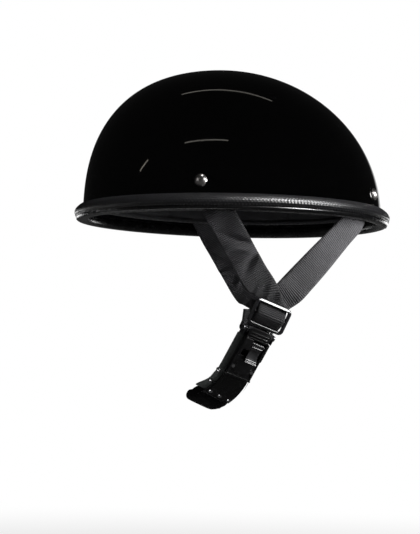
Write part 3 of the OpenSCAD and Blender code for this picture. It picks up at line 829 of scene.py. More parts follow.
@dataclass(frozen=True)
class Moulded(Finish):
    """Moulded plastic with a fine spark-eroded grain and flow marks."""

    grain: float = 0.3
    flow: float = 18
    relief: float = 0.02

    def look(self, g: Graph) -> Looks:
        """Give the plastic its grain.

        Args:
            g: the material's nodes.

        Returns:
            The sockets that change over the surface.
        """
        where = g.place_mm()
        grain = g.noise(where, self.grain, 2)
        flow = g.noise(where, self.flow, 3)
        return {"Base Color": g.blend(flow.step(0.35, 0.75), self.colour, self.shade(1.5)),
                "Roughness": self.rough + grain * 0.1 + flow * 0.06,
                "Normal": g.bump(grain, self.relief, 0.6)}


SHELL = Lacquer("shell_gloss", (0.0022, 0.0022, 0.0024), 0.03)
TRIM = Pebbled("trim_vinyl", (0.0016, 0.0016, 0.0019), 0.2, specular=0.5)
FOAM = BeadFoam("foam", (0.05, 0.05, 0.055), 0.8)
LINING = Cloth("lining_cloth", (0.014, 0.014, 0.015), 0.85, specular=0.15, sheen=0.1, sheen_rough=0.5)
EDGING = Cloth("lining_edge", (0.010, 0.010, 0.011), 0.75, specular=0.2, sheen=0.08, loop=0.6)
CHROME = BareMetal("rivet_chrome", (0.46, 0.44, 0.43), 0.26, metal=1, line=1.4)
WASHER = BareMetal("washer_steel", (0.6, 0.6, 0.62), 0.25, metal=1)
WEBBING = Webbing("webbing", (0.0175, 0.0169, 0.0192), 0.5, specular=0.35, sheen=0.08, sheen_rough=0.35)
GLIDE = BlackMetal("glide_black", (0.007, 0.007, 0.008), 0.16, coat=0.6)
HOUSING = BlackMetal("buckle_black", (0.0025, 0.0025, 0.0028), 0.22, relief=0.01)
BASE = BareMetal("buckle_steel", (0.12, 0.12, 0.125), 0.3, metal=1)
BAR = BareMetal("bar_steel", (0.5, 0.5, 0.52), 0.2, metal=1)
SMALL_RIVET = BareMetal("small_rivet", (0.5, 0.5, 0.51), 0.16, metal=1, line=0.5)
LEVER = BlackMetal("lever_black", (0.010, 0.010, 0.011), 0.2, coat=0.5)
SPRING = BareMetal("spring_steel", (0.5, 0.5, 0.52), 0.25, metal=1)
TONGUE = Moulded("tongue_gloss", (0.0012, 0.0012, 0.0013), 0.16, specular=0.4)
GUARD = Moulded("guard_grey", (0.034, 0.038, 0.036), 0.42, relief=0.03)
PAD = Cloth("pad_cloth", (0.0013, 0.0013, 0.0015), 0.85, specular=0.05, sheen=0.01, loop=0.7)


# ---------------------------------------------------------------- the helmet's own forms


@dataclass(frozen=True)
class ShellForm:
    """The dome: phi runs from the rear (0) past the left side (90), t from the edge (0) to the crown (1)."""

    length: float = 271.5
    half_width: float = 108
    height: float = 133.5
    apex_forward: float = 8
    front_fullness: float = 2.44
    rear_fullness: float = 2.0
    side_fullness: float = 2.3
    egg_taper: float = 0.05
    wall: float = 3
    drop: float = 6

    @staticmethod
    def fall(t: float, power: float) -> float:
        """Return how far out the profile still is at height t."""
        return max(0.0, 1 - t ** power) ** (1 / power)

    def on_dome(self, phi: float, t: float, depth: float) -> Vector:
        """Find a point of the dome.

        Args:
            phi: its angle.
            t: its height.
            depth: how far it lies below the outer surface.

        Returns:
            The point.
        """
        half, apex = self.length / 2, self.apex_forward
        front = -apex - (half - apex - depth) * self.fall(t, self.front_fullness)
        rear = -apex + (half + apex - depth) * self.fall(t, self.rear_fullness)
        s, c = math.sin(math.radians(phi)), math.cos(math.radians(phi))
        out = (self.half_width - depth) * self.fall(t, self.side_fullness) * s * (1 + self.egg_taper * c)
        ahead = (front + rear) / 2 + (rear - front) / 2 * c
        return Vector((out, ahead, self.drop + (self.height - depth) * t))

    def on_wall(self, phi: float, z: float, depth: float) -> Vector:
        """Return the point of the wall at height z, or straight below the edge."""
        p = self.on_dome(phi, max(0.0, (z - self.drop) / (self.height - depth)), depth)
        return Vector((p.x, p.y, z))

    def normal(self, phi: float, z: float) -> Vector:
        """Return the direction out of the wall."""
        rise = self.on_wall(phi, z + 1, 0) - self.on_wall(phi, z - 1, 0)
        return unit(rise.cross(self.on_wall(phi + 0.5, z, 0) - self.on_wall(phi - 0.5, z, 0)))

    def rows(self, depth: Depth, low: float, rings: int, steps: int) -> Rows:
        """Lay rings of points from low to the crown.

        Args:
            depth: the depth at phi and t.
            low: the height of the first ring.
            rings: how many rings.
            steps: points in a ring.

        Returns:
            The rings, and the crown as a row of one point.
        """
        start = math.asin(low ** 1.1)
        out = []
        for i in range(rings):
            t = math.sin(mix(start, math.pi / 2, i / rings)) ** (1 / 1.1)
            out.append([self.on_dome(360 * j / steps, t, depth(360 * j / steps, t)) for j in range(steps)])
        return out + [[self.on_dome(0, 1, depth(0, 1))]]

    def bowl(self, name: str, outside: tuple[Depth, float, int], inside: tuple[Depth, float, int], steps: int,
             sharp: float) -> Piece:
        """Make a closed bowl between two faces.

        Args:
            name: the object's name.
            outside: the outer face's depth, the height of its first ring and how many rings.
            inside: the same for the inner face.
            steps: points in a ring.
            sharp: the angle in degrees past which an edge stays sharp.

        Returns:
            The bowl.
        """
        return skin(name, self.rows(*outside, steps)[::-1] + self.rows(*inside, steps), sharp=sharp)


FORM = ShellForm()


@dataclass
class Assembly:
    """A group of pieces that is built and dressed together."""

    made: list[str] = field(default_factory=list, init=False)

    def fit(self, obj: Piece, finish: Finish, body: Body | None, *nodes: str) -> Piece:
        """Dress a piece, put it on its body and hide the nodes that it replaces.

        Args:
            obj: the piece.
            finish: its finish.
            body: the body that it rides on, or None to leave it unattached.
            nodes: the nodes that it replaces.

        Returns:
            The piece.
        """
        finish.put_on(obj)
        if nodes:
            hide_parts(*nodes)
        if body is not None:
            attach(obj, body.value)
        self.made.append(obj.name)
        LOG.info("%s: %d faces, %s", obj.name, len(obj.data.polygons), finish.slot)
        return obj

    def keep(self, node: str, finish: Finish) -> None:
        """Keep a solid as it is.

        Args:
            node: the solid's node.
            finish: the finish that it gets.
        """
        obj = frame["nodes"][node]
        finish.put_on(obj)
        self.made.append(node)
        LOG.info("%s: kept, %s", node, finish.slot)


@dataclass
class ShellAssembly(Assembly):
    """The lacquered shell and the rolled trim on its edge."""

    rings: int = 44
    steps: int = 176
    trim_steps: int = 1760
    dot_rise: float = 0.5
    dot_reach: float = 1.32
    joint_wire: float = 0.28

    def trim_profile(self) -> list[Pair]:
        """Draw the trim's section: a bead, a groove, a smooth roll and the inner lip.

        Returns:
            The section's points, outward and height.
        """
        outer = [Vector(p) for p in (
            (0.1, 14.3), (0.7, 14.5), (1.7, 14.25), (3.4, 13.2), (5.2, 11.6), (6.7, 9.6), (7.4, 7.5),
            (7.2, 5.7), (6.5, 4.3), (5.95, 3.7), (6.05, 3.1), (6.15, 2.4), (5.7, 1.2), (4.5, 0.3),
            (2.9, 0.0))]
        inner = [(-2.0, 0.0), (-3.6, 0.35), (-4.7, 1.3), (-5.2, 2.8), (-5.2, 7.9), (-4.8, 8.8), (-4.0, 9.0),
                 (-3.4, 8.6), (-3.2, 5.8), (0.15, 5.8)]
        return [(p.x, p.y) for p in spline(outer, 4)] + inner

    def dot(self, run: float, down: float) -> float:
        """Raise a dot of the pebbled face.

        Args:
            run: the length along the rim.
            down: the length down the bead.

        Returns:
            How far the face rises there.
        """
        first, last = TRIM.dotted
        if not first < down < last:
            return 0.0
        row = round(down / TRIM.row)
        shift = run / TRIM.pitch + 0.5 * (row % 2)
        away = math.hypot((shift - round(shift)) * TRIM.pitch, (down - row * TRIM.row) * TRIM.squeeze)
        size = 0.85 + 0.25 * noise.noise(Vector((round(shift) * 3.7, row * 5.1, 0)))
        return self.dot_rise * ease(1 - away / self.dot_reach) * size

    def trim(self, profile: Sequence[Pair]) -> Piece:
        """Lay the trim's section round the rim, with its dots raised.

        Args:
            profile: the section.

        Returns:
            The trim.
        """
        weft = totals(math.dist(a, b) for a, b in zip(profile, [*profile[1:], profile[0]]))
        angles = [360 * i / self.trim_steps for i in range(self.trim_steps)]
        spots = [FORM.on_dome(phi, 0, -6) for phi in angles]
        warp = totals((b - a).length for a, b in zip(spots, spots[1:] + spots[:1]))
        flat = (0.0, 0.0)
        turned = [flat, *((a[1] - c[1], c[0] - a[0]) for a, c in zip(profile, profile[2:])), flat]
        rows = []
        for phi, run in zip(angles, warp):
            row = []
            for (x, z), (dx, dz), down in zip(profile, turned, weft):
                rise, reach = self.dot(run, down), math.hypot(dx, dz) or 1.0
                row.append(Vector((*FORM.on_dome(phi, 0, -x - rise * dx / reach).xy, z + rise * dz / reach)))
            rows.append(row)
        return skin("rim_trim", rows, loop=True, weft=weft, warp=warp, sharp=70)

    def build(self) -> None:
        """Build and dress the shell and the trim."""
        faces = (lambda phi, t: 0, 0, self.rings), (lambda phi, t: FORM.wall, 0, self.rings)
        self.fit(FORM.bowl("shell", *faces, self.steps, 60), SHELL, Body.HELMET, "outer_shell")
        profile = self.trim_profile()
        self.fit(self.trim(profile), TRIM, Body.HELMET, "edge_trim")
        seam = [FORM.on_dome(0, 0, -x - 0.02).xy.to_3d() + Vector((0, 0, z)) for x, z in profile[2:52]]
        self.fit(sweep("rim_trim_joint", seam, self.joint_wire, 8), TRIM, Body.HELMET)


@dataclass
class LinerAssembly(Assembly):
    """The foam, the quilted liner over it, and the band sewn round its lower edge."""

    channels: int = 12
    foam_depth: float = 3.5
    foam_wall: float = 14
    recess: float = 5.6
    comfort_wall: float = 5.4
    valley: float = 2.6
    fit_gap: float = 0.4
    low: float = 14
    band_wall: float = 2.2
    steps: int = 288
    stitch: float = 4.2
    stitch_length: float = 2.9
    stitch_wire: float = 0.32

    def inside(self) -> float:
        """Return the depth of the quilted liner's crowns."""
        return self.foam_depth + self.foam_wall + self.fit_gap + self.comfort_wall

    def quilt(self, phi: float, t: float) -> float:
        """Quilt the liner's face in crowned channels that run to a round cap at the crown.

        Args:
            phi: the angle.
            t: the height.

        Returns:
            The depth of the face there.
        """
        hump = abs(math.sin(math.radians(phi * self.channels / 2)))
        puff = self.valley * (1 - hump ** 0.55) * ease((0.93 - t) / 0.25)
        cross = 1.3 * math.exp(-((t - 0.9) / 0.025) ** 2)
        edge = 1.2 * math.exp(-((t - 0.07) / 0.03) ** 2)
        a = math.radians(phi)
        soft = 0.35 * noise.noise(Vector((math.cos(a) * 5, math.sin(a) * 5, t * 7)))
        return self.inside() - 0.3 - puff - cross - edge + soft

    def foam_back(self, t: float) -> float:
        """Return the depth of the foam's outer face, which is set back near the edge for the straps."""
        return self.foam_depth + self.recess * (1 - ease((t - 0.2) / 0.16))

    @staticmethod
    def bead(phi: float, t: float) -> float:
        """Return how far the fused beads leave the foam's face below its full size."""
        a = math.radians(phi)
        return 0.12 + 0.12 * noise.noise(Vector((math.cos(a) * 34, math.sin(a) * 34, t * 40)))

    def low_t(self, depth: float) -> float:
        """Return the height share of the liner's lower edge at a depth."""
        return (self.low - FORM.drop) / (FORM.height - depth)

    def build(self) -> None:
        """Build and dress the foam, the quilted liner, its band and the stitches."""
        low, core = self.low_t(self.foam_depth + self.recess), self.foam_depth + self.foam_wall
        foam = FORM.bowl("bead_foam_dome", (lambda phi, t: self.foam_back(t) + self.bead(phi, t), low, 40),
                         (lambda phi, t: core - self.bead(phi, t), self.low_t(core), 40), self.steps, 60)
        self.fit(foam, FOAM, Body.HELMET, "foam_liner")
        back = core + self.fit_gap
        liner = FORM.bowl("quilted_liner", (lambda phi, t: back, self.low_t(back), 30),
                          (self.quilt, self.low_t(self.inside()), 48), self.steps, 80)
        self.fit(liner, LINING, Body.HELMET, "comfort_liner")

        out, inn = self.foam_depth + self.recess + 0.5, self.inside()
        low = self.low - self.fit_gap - self.band_wall
        top = low + self.band_wall
        profile = [(out, top), (out, low + 0.8), (out + 0.35, low + 0.2), (out + 1.2, low),
                   (mix(out, inn, 0.5), low + 0.25), (inn - 2.6, low + 0.12), (inn - 2.2, low - 0.15),
                   (inn - 0.9, low - 0.15), (inn - 0.1, low + 0.6), (inn, low + 1.3), (inn - 0.4, top)]
        rows = [[Vector((*FORM.on_dome(360 * i / 240, 0, d).xy, z)) for d, z in profile] for i in range(240)]
        self.fit(skin("liner_band_binding", rows, loop=True, sharp=60), EDGING, Body.HELMET, "liner_band")

        ring = [Vector((*FORM.on_dome(p / 2, 0, inn - 4).xy, low - 0.02)) for p in range(720)]
        places, run = [], 0.0
        for a, b in zip(ring, ring[1:]):
            run += (b - a).length
            if run > self.stitch:
                run = 0.0
                places.append((b, unit(b - a), Vector((0, 0, -1))))
        self.fit(beads("band_stitches", places, self.stitch_length, self.stitch_wire), WEBBING, Body.HELMET)


@dataclass(frozen=True)
class Layout:
    """The places of the glides, the buckle and the jaw line."""

    glide: Place = field(default_factory=lambda: Place.leaning(Vector((82, 31, -86.6)), 24, 13.6, 15))
    pitch: float = 10.5
    bar: float = 1.5
    web_w: float = 25.4
    web_t: float = 1.4
    web_fit: float = 0.25
    yoke_s: float = 42.5
    yoke_z: float = 0.6
    web_reach: float = 6.5
    length: float = 38
    plate_low: float = -0.4
    tongue_low: float = 1.2
    tongue_top: float = 3.2
    roof: float = 6.4
    wall: float = 8.6
    pin_s: float = 33
    pin_z: float = 6.2

    @property
    def buckle(self) -> Place:
        """Hang the buckle below the glide.

        Returns:
            The buckle's frame.
        """
        lean = Place.leaning(Vector(), 26.8, 19.7, 22)
        drop = lean.at(1.5, self.yoke_s + self.pitch + self.web_reach, 0.4)
        return Place(self.glide.origin - drop, lean.across, lean.up, lean.out)

    @property
    def near(self) -> float:
        """Return how far the middle of the inner layer of webbing runs from a bar's middle."""
        return self.bar + self.web_fit + self.web_t / 2

    @property
    def far(self) -> float:
        """Return the same for the outer layer."""
        return self.near + self.web_t + self.web_fit

    def jaw(self, t: float) -> Place:
        """Return the frame on the jaw line at t, from the middle of the chin (0) to the buckle (1).

        Args:
            t: the share of the way, below 0 on the other side.

        Returns:
            The frame, with its up direction along the jaw line.
        """
        if t < 0:
            f = self.jaw(-t)
            return Place(flip(f.origin), flip(f.across), -flip(f.up), flip(f.out))
        b = self.buckle
        chin = Vector((0, b.origin.y - 30, b.origin.z - 24.5))
        slope = math.radians(24)
        p = (chin, chin + Vector((30, 0, 0)), b.origin - b.up * 26, b.origin)
        r = 1 - t
        spot = p[0] * r ** 3 + p[1] * (3 * t * r ** 2) + p[2] * (3 * t * t * r) + p[3] * t ** 3
        up = unit((p[1] - p[0]) * (3 * r ** 2) + (p[2] - p[1]) * (6 * t * r) + (p[3] - p[2]) * (3 * t * t))
        side = mix(Vector((0, math.cos(slope), -math.sin(slope))), b.across, t)
        side = unit(side - up * side.dot(up))
        return Place(spot, side, up, side.cross(up))


LAYOUT = Layout()


@dataclass(frozen=True)
class Fold:
    """A crease in webbing: its height and place, its slant and bow across, and its fading to one edge."""

    height: float
    at: float
    slant: float
    bow: float
    width: float
    edge: float
    fade: float
    side: int = 1

    def relief(self, run: float, x: float) -> float:
        """Return how far the web stands off at a length along it and -1 to 1 across it."""
        away = (run - self.at - self.slant * x - self.bow * x * x) / self.width
        return self.height * math.exp(-away ** 2) * ease((self.edge + self.side * x) / self.fade)


FOLDS = (Fold(-2.5, 69, 13, 0, 4.2, 1, 1.3),
         Fold(2.4, 79, 9, 5, 3.4, 1.1, 1.3, -1),
         Fold(-2.2, 95, -7, 0, 3.8, 0.9, 1.1))


@dataclass
class StrapAssembly(Assembly):
    """The four head straps, the chin strap and the rivets that hold them."""

    front_rivet: float = 102.8
    rear_rivet: float = 23.2
    front_exit: float = 96.5
    rear_exit: float = 35
    rise: float = 25.5
    head: float = 10.8
    lip: float = 9
    lip_wall: float = 2.2
    columns: int = 14
    rib: float = 1.65
    rib_rise: float = 0.3
    rim_station: int = 6
    gate_station: int = 13
    gate_run: float = field(default=118, init=False)

    def on_wall(self, rivet: float, leave: float) -> list[Station]:
        """Return the stations of a strap from its top end inside the shell to just below the rim.

        Args:
            rivet: the rivet's angle.
            leave: the angle at which the strap leaves the rim.

        Returns:
            The stations, top first.
        """
        w, t = LAYOUT.web_w, LAYOUT.web_t
        a = FORM.length / 2 * math.sin(math.radians(rivet))
        b = FORM.half_width * math.cos(math.radians(rivet))
        sag = (0.62 * w) ** 2 / (2 * (a * a + b * b) ** 1.5 / (FORM.length / 2 * FORM.half_width))
        seat = FORM.wall + LAYOUT.web_fit + sag + t / 2
        under = seat + self.lip_wall
        tilt = math.atan((FORM.on_wall(rivet, 0, 0) - FORM.on_wall(leave, 0, 0)).length / self.rise)
        low = self.lip + 0.8 + w / 2 * math.sin(tilt)
        flat = self.rise - (self.head / 2 + 0.9) * math.cos(tilt)
        heights = [self.rise + 11, self.rise + 5.5, self.rise, flat, low, self.lip / 2, -1]
        spots = []
        for z in heights:
            phi = mix(leave, rivet, z / self.rise)
            depth = mix(seat, under, min(1, max(0, (flat - z) / (flat - low))))
            spots.append(FORM.on_wall(phi, z, depth))
        out = []
        for i, z in enumerate(heights):
            along = unit(spots[min(i + 1, 6)] - spots[max(i - 1, 0)])
            n = FORM.normal(mix(leave, rivet, z / self.rise), max(z, 0))
            out.append(Station(spots[i], unit(n.cross(along))))
        return out

    def entry(self, front: bool) -> list[Station]:
        """Draw a strap together above the glide.

        Args:
            front: whether it is the front strap.

        Returns:
            The stations, top first.
        """
        g = LAYOUT.glide
        if not front:
            return [Station(g.at(9 * share, k * LAYOUT.pitch, -LAYOUT.far - back), g.across)
                    for share, k, back in ((1, 2.6, 1.2), (0.35, 1.7, 0.3), (0.06, 1.25, 0))]
        out = []
        for x, rise, back, turn in ((-1.08, 16.5, 1.2, 48), (-0.645, 9.8, 0.5, 33), (-0.32, 4.7, 0.1, 16)):
            a = math.radians(turn)
            spot = g.at(x * LAYOUT.web_w, LAYOUT.pitch + rise, -LAYOUT.near - back)
            out.append(Station(spot, g.across * math.cos(a) + g.up * math.sin(a)))
        return out

    def span(self, a: Station, b: Station, count: int) -> list[Station]:
        """Bridge the free length between the rim and the glide.

        Args:
            a: the station at the rim.
            b: the station at the glide.
            count: how many stations lie between them.

        Returns:
            Those stations.
        """
        out = []
        for k in range(1, count + 1):
            t = k / (count + 1)
            out.append(Station(mix(a.middle, b.middle, t), unit(mix(a.across, b.across, ease(t)))))
        return out

    def thread(self, ends: float, middle: float) -> list[Station]:
        """Thread a strap behind, over and behind the bars of its glide.

        Args:
            ends: how far the web runs from the middle of the two outer bars.
            middle: how far it runs from the middle of the middle bar.

        Returns:
            The stations, top first.
        """
        g, pitch = LAYOUT.glide, LAYOUT.pitch
        angle = math.asin((LAYOUT.near + LAYOUT.far) / pitch)
        outer = [(ends * math.sin(a), -ends * math.cos(a)) for a in (angle * k / 3 for k in range(4))]
        inner = [(middle * math.sin(a), middle * math.cos(a))
                 for a in (angle * k / 4 for k in range(4, -5, -1))]
        spots = [(pitch - s, z) for s, z in outer] + inner + [(s - pitch, z) for s, z in reversed(outer)]
        return [Station(g.at(0, s, z), g.across) for s, z in spots]

    def upper(self, front: bool) -> list[Station]:
        """Lay a strap from the shell through its glide.

        Args:
            front: whether it is the front strap.

        Returns:
            The stations, top first.
        """
        rivet, leave = (self.front_rivet, self.front_exit) if front else (self.rear_rivet, self.rear_exit)
        wall = self.on_wall(rivet, leave)
        entry = self.entry(front)
        ends, middle = (LAYOUT.near, LAYOUT.far) if front else (LAYOUT.far, LAYOUT.near)
        return wall + self.span(wall[-1], entry[0], 3 if front else 5) + entry + self.thread(ends, middle)

    def tail(self) -> list[Station]:
        """Fold the rear strap's end up behind the glide.

        Returns:
            The stations of the end.
        """
        g, r = LAYOUT.glide, LAYOUT.web_t / 2 + 1.1
        spots = [(0, 0.7 - LAYOUT.pitch - r * math.sin(a), -LAYOUT.far - r * (1 - math.cos(a)))
                 for a in map(math.radians, range(30, 181, 30))]
        spots += [(-1.6 * k, 5.2 * k - LAYOUT.pitch, -LAYOUT.far - 2 * r - 0.1) for k in (1, 2, 3, 4)]
        return [Station(g.at(*p), g.across) for p in spots]

    def loop(self) -> list[Station]:
        """Lead the front strap round the buckle's bar.

        Returns:
            The stations of the loop.
        """
        b, s, z = LAYOUT.buckle, LAYOUT.yoke_s, LAYOUT.yoke_z
        wrap = 1.6 + LAYOUT.web_fit + LAYOUT.web_t / 2
        turns = map(math.radians, range(0, 181, 30))
        bend = [(s - wrap * math.sin(a), z - wrap * math.cos(a)) for a in turns]
        spots = [(s + 2.4, z - wrap - 0.1), *bend, (s + 3.6, z + wrap + 0.1)]
        return [Station(b.at(0, p, q), b.across) for p, q in spots]

    def ribbon(self, name: str, path: Sequence[Station], relief: Callable[[float, float], float],
               start: float = 0, gate: float = 1e6) -> Piece:
        """Make a woven strap with rounded edges.

        Args:
            name: the object's name.
            path: its stations.
            relief: how far the web stands off its middle line, by the length along it and -1 to 1 across.
            start: the length at which this piece starts, so that ribs run on from the piece before.
            gate: the length at which it enters its glide, before which it may lean sideways.

        Returns:
            The object.
        """
        middles, sides = self.even(spline([s.middle for s in path], 8), spline([s.across for s in path], 8))
        half, t = LAYOUT.web_w / 2, LAYOUT.web_t / 2
        lateral = [mix(-1.0, 1.0, k / self.columns) for k in range(self.columns + 1)]
        ring = [(x * (half - t), t * (1 - 0.18 * abs(x) ** 6)) for x in lateral]
        ring += [(half - t + t * math.sin(a), t * math.cos(a) * 0.82)
                 for a in (math.pi * k / 5 for k in range(1, 5))]
        ring += [(x, -z) for x, z in reversed(ring[:self.columns + 1])]
        ring += [(-x, -z) for x, z in ring[self.columns + 1:self.columns + 5]]
        rows, warp, run = [], [], start
        for i, spot in enumerate(middles):
            if i:
                run += (spot - middles[i - 1]).length
            along = unit(middles[min(i + 1, len(middles) - 1)] - middles[max(i - 1, 0)])
            n = unit(along.cross(sides[i]))
            side = unit(mix(n.cross(along), sides[i], ease((run - gate + 34) / 25)))
            ribs = self.rib_rise * (abs(math.sin(math.pi * run / self.rib)) - 0.6)
            row = []
            for x, z in ring:
                wide = x + 0.6 * ribs * (abs(x) > half - 0.9) * math.copysign(1, x)
                rib = math.copysign(ribs, z) * ease((half - 1.1 - abs(x)) / 0.8)
                row.append(spot + side * wide + n * (z + relief(run, x / half) + rib))
            rows.append(row)
            warp.append(run)
        weft = [x for x, _ in ring] + [ring[0][0]]
        return skin(name, rows, caps=True, weft=weft, warp=warp, sharp=75)

    def even(self, middles: Sequence[Vector], sides: Sequence[Vector]) -> tuple[list[Vector], list[Vector]]:
        """Space a path's points evenly, a sixth of a rib apart.

        Args:
            middles: the path's points.
            sides: the direction across at each point.

        Returns:
            The new points and directions.
        """
        step, spots, turns, carry = self.rib / 6, [middles[0]], [unit(sides[0])], 0.0
        for i in range(1, len(middles)):
            gap = (middles[i] - middles[i - 1]).length
            at = step - carry
            while at <= gap:
                spots.append(mix(middles[i - 1], middles[i], at / gap))
                turns.append(unit(mix(sides[i - 1], sides[i], at / gap)))
                at += step
            carry = gap - (at - step)
        return spots + [middles[-1]], turns + [unit(sides[-1])]

    def front_relief(self, run: float, x: float) -> float:
        """Crease the front strap with its folds, and pleat it where it is gathered.

        Args:
            run: the length along the strap.
            x: -1 to 1 across it.

        Returns:
            How far the web stands off its middle line.
        """
        end = self.gate_run
        dent = sum(fold.relief(run, x) for fold in FOLDS)
        gather = ease((run - end + 26) / 12) * (1 - ease((run - end + 7) / 5))
        pleat = 0.5 * math.sin(7 * x + 0.5 * (run - end)) * gather
        sway = 0.35 * math.sin(run / 11 + 2 * x) * ease((run - 40) / 10)
        return (dent + sway) * (1 - ease((run - end + 12) / 8)) + pleat

    def rear_relief(self, run: float, x: float) -> float:
        """Return the rear strap's gentle sway."""
        free = ease((run - 44) / 14) * (1 - ease((run - 118) / 12))
        return (0.5 * math.sin(run / 17 + 1.3 * x) + 0.6 * (1 - x * x) * math.sin(run / 40)) * free

    @staticmethod
    def calm(run: float, x: float) -> float:
        """Return no relief but a slight crown."""
        return 0.12 * (1 - x * x)

    def chin_path(self) -> list[Station]:
        """Lay the chin strap from the right loop, under the chin, to the tongue.

        Returns:
            The stations in order.
        """
        b, s = LAYOUT.buckle.mirrored(), LAYOUT.yoke_s
        web_z = LAYOUT.tongue_low - LAYOUT.web_fit - LAYOUT.web_t / 2
        out = [Station(b.at(0, p, z), b.across)
               for p, z in ((s + 1, 0.7), (s - 6.5, 1.8), (s - 16, 2.4), (16, 1.4), (6, web_z + 0.3))]
        for k in range(21):
            f = LAYOUT.jaw(mix(-0.97, 0.8, k / 20))
            out.append(Station(f.at(0, 0, web_z), f.across))
        return out

    def build(self) -> None:
        """Build and dress the straps."""
        g, b, s = LAYOUT.glide, LAYOUT.buckle, LAYOUT.yoke_s
        front, rear = self.upper(True), self.upper(False)
        low = [Station(b.at(0, p, z), b.across) for p, z in ((s + 1.5, -1.3), (s - 6.5, -0.1), (s - 16, 0.4))]
        runs = totals((after.middle - spot.middle).length for spot, after in zip(front, front[1:]))
        self.gate_run = runs[self.gate_station]
        LOG.info("the front straps enter their glides after %.0f mm", self.gate_run)
        sides = (("left", Body.LEFT_GLIDE, 1, self.loop()), ("right", Body.RIGHT_GLIDE, -1, low))
        for side, glide, sign, end in sides:
            paths = front, front[-1:] + end, rear + self.tail()
            marks = (front[self.rim_station].middle, rear[self.rim_station].middle,
                     g.at(0, LAYOUT.pitch, 0), g.at(0, -LAYOUT.pitch, 0), b.at(0, s + 1, 0))
            if side == "right":
                paths = tuple([station.mirrored() for station in path] for path in paths)
                marks = tuple(map(flip, marks))
            front_rim, rear_rim, gate, foot, yoke = (mark * MM for mark in marks)
            node = side + "_front_strap"
            upper = self.ribbon(node + "_web", paths[0], lambda r, x: self.front_relief(r, x) * sign,
                                gate=self.gate_run)
            self.fit(upper, WEBBING, None, node)
            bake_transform(upper)
            lower = self.ribbon(node + "_loop_web", paths[1], self.calm, runs[-1])
            self.fit(lower, WEBBING, None, node)
            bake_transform(lower)
            node = side + "_rear_strap"
            web = self.ribbon(node + "_web", paths[2], lambda r, x: self.rear_relief(r, x) * sign)
            self.fit(web, WEBBING, None, node)
            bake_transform(web)
        path = self.chin_path()
        chin = self.ribbon("chin_strap_web", path, self.calm)
        self.fit(chin, WEBBING, None, "chin_strap")
        path[1].middle * MM
        LAYOUT.jaw(-0.58).origin * MM
        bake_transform(chin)
        for node, finish in (("strap_rivets", CHROME), ("rivet_washers", WASHER)):
            self.keep(node, finish)


@dataclass
class GlideAssembly(Assembly):
    """The two slide glides: a rounded frame with a bar across its middle."""

    side: float = 3.2
    corner: float = 3.2
    sides: int = 24
    facet_turn: float = 33
    facet_cut: float = 0.62

    def frame_rows(self, place: Place) -> Rows:
        """Lay out the frame's closed sweep.

        Args:
            place: the glide's frame.

        Returns:
            The rows round the frame.
        """
        facet = Vector((math.sin(math.radians(self.facet_turn)), math.cos(math.radians(self.facet_turn))))
        half, pitch = LAYOUT.web_w / 2 + 1 + self.side / 2, LAYOUT.pitch
        path = rounded([(-half, -pitch), (half, -pitch), (half, pitch), (-half, pitch)], self.corner, 8)
        rows = []
        n = len(path)
        for i, (x, s) in enumerate(path):
            d = (Vector(path[(i + 1) % n]) - Vector(path[i - 1])).normalized()
            flat = abs(d.y)
            wide, high = mix(LAYOUT.bar, self.side / 2, flat), LAYOUT.bar
            power = mix(1.0, 0.62, flat)
            upper = ease((s - pitch + 3) / 3)
            row = []
            for a in (math.tau * k / self.sides for k in range(self.sides)):
                c, q = math.cos(a), math.sin(a)
                u = wide * math.copysign(abs(c) ** power, c)
                v = high * math.copysign(abs(q) ** power, q)
                over = u * facet.x + v * facet.y - mix(9, self.facet_cut * high, upper)
                if over > 0:
                    u, v = u - over * facet.x, v - over * facet.y
                row.append(place.at(x + d.y * u, s - d.x * u, v))
            rows.append(row)
        return rows

    def build(self) -> None:
        """Build and dress both glides."""
        for body, place in ((Body.LEFT_GLIDE, LAYOUT.glide), (Body.RIGHT_GLIDE, LAYOUT.glide.mirrored())):
            name = body.value
            self.fit(skin(name + "_frame", self.frame_rows(place), loop=True, sharp=60), GLIDE, body, name)
            half = LAYOUT.web_w / 2 + 1.6
            bar = [place.at(mix(-half, half, k / 10), 0, 0) for k in range(11)]
            self.fit(sweep(name + "_middle_bar", bar, LAYOUT.bar, 20), GLIDE, body, name)


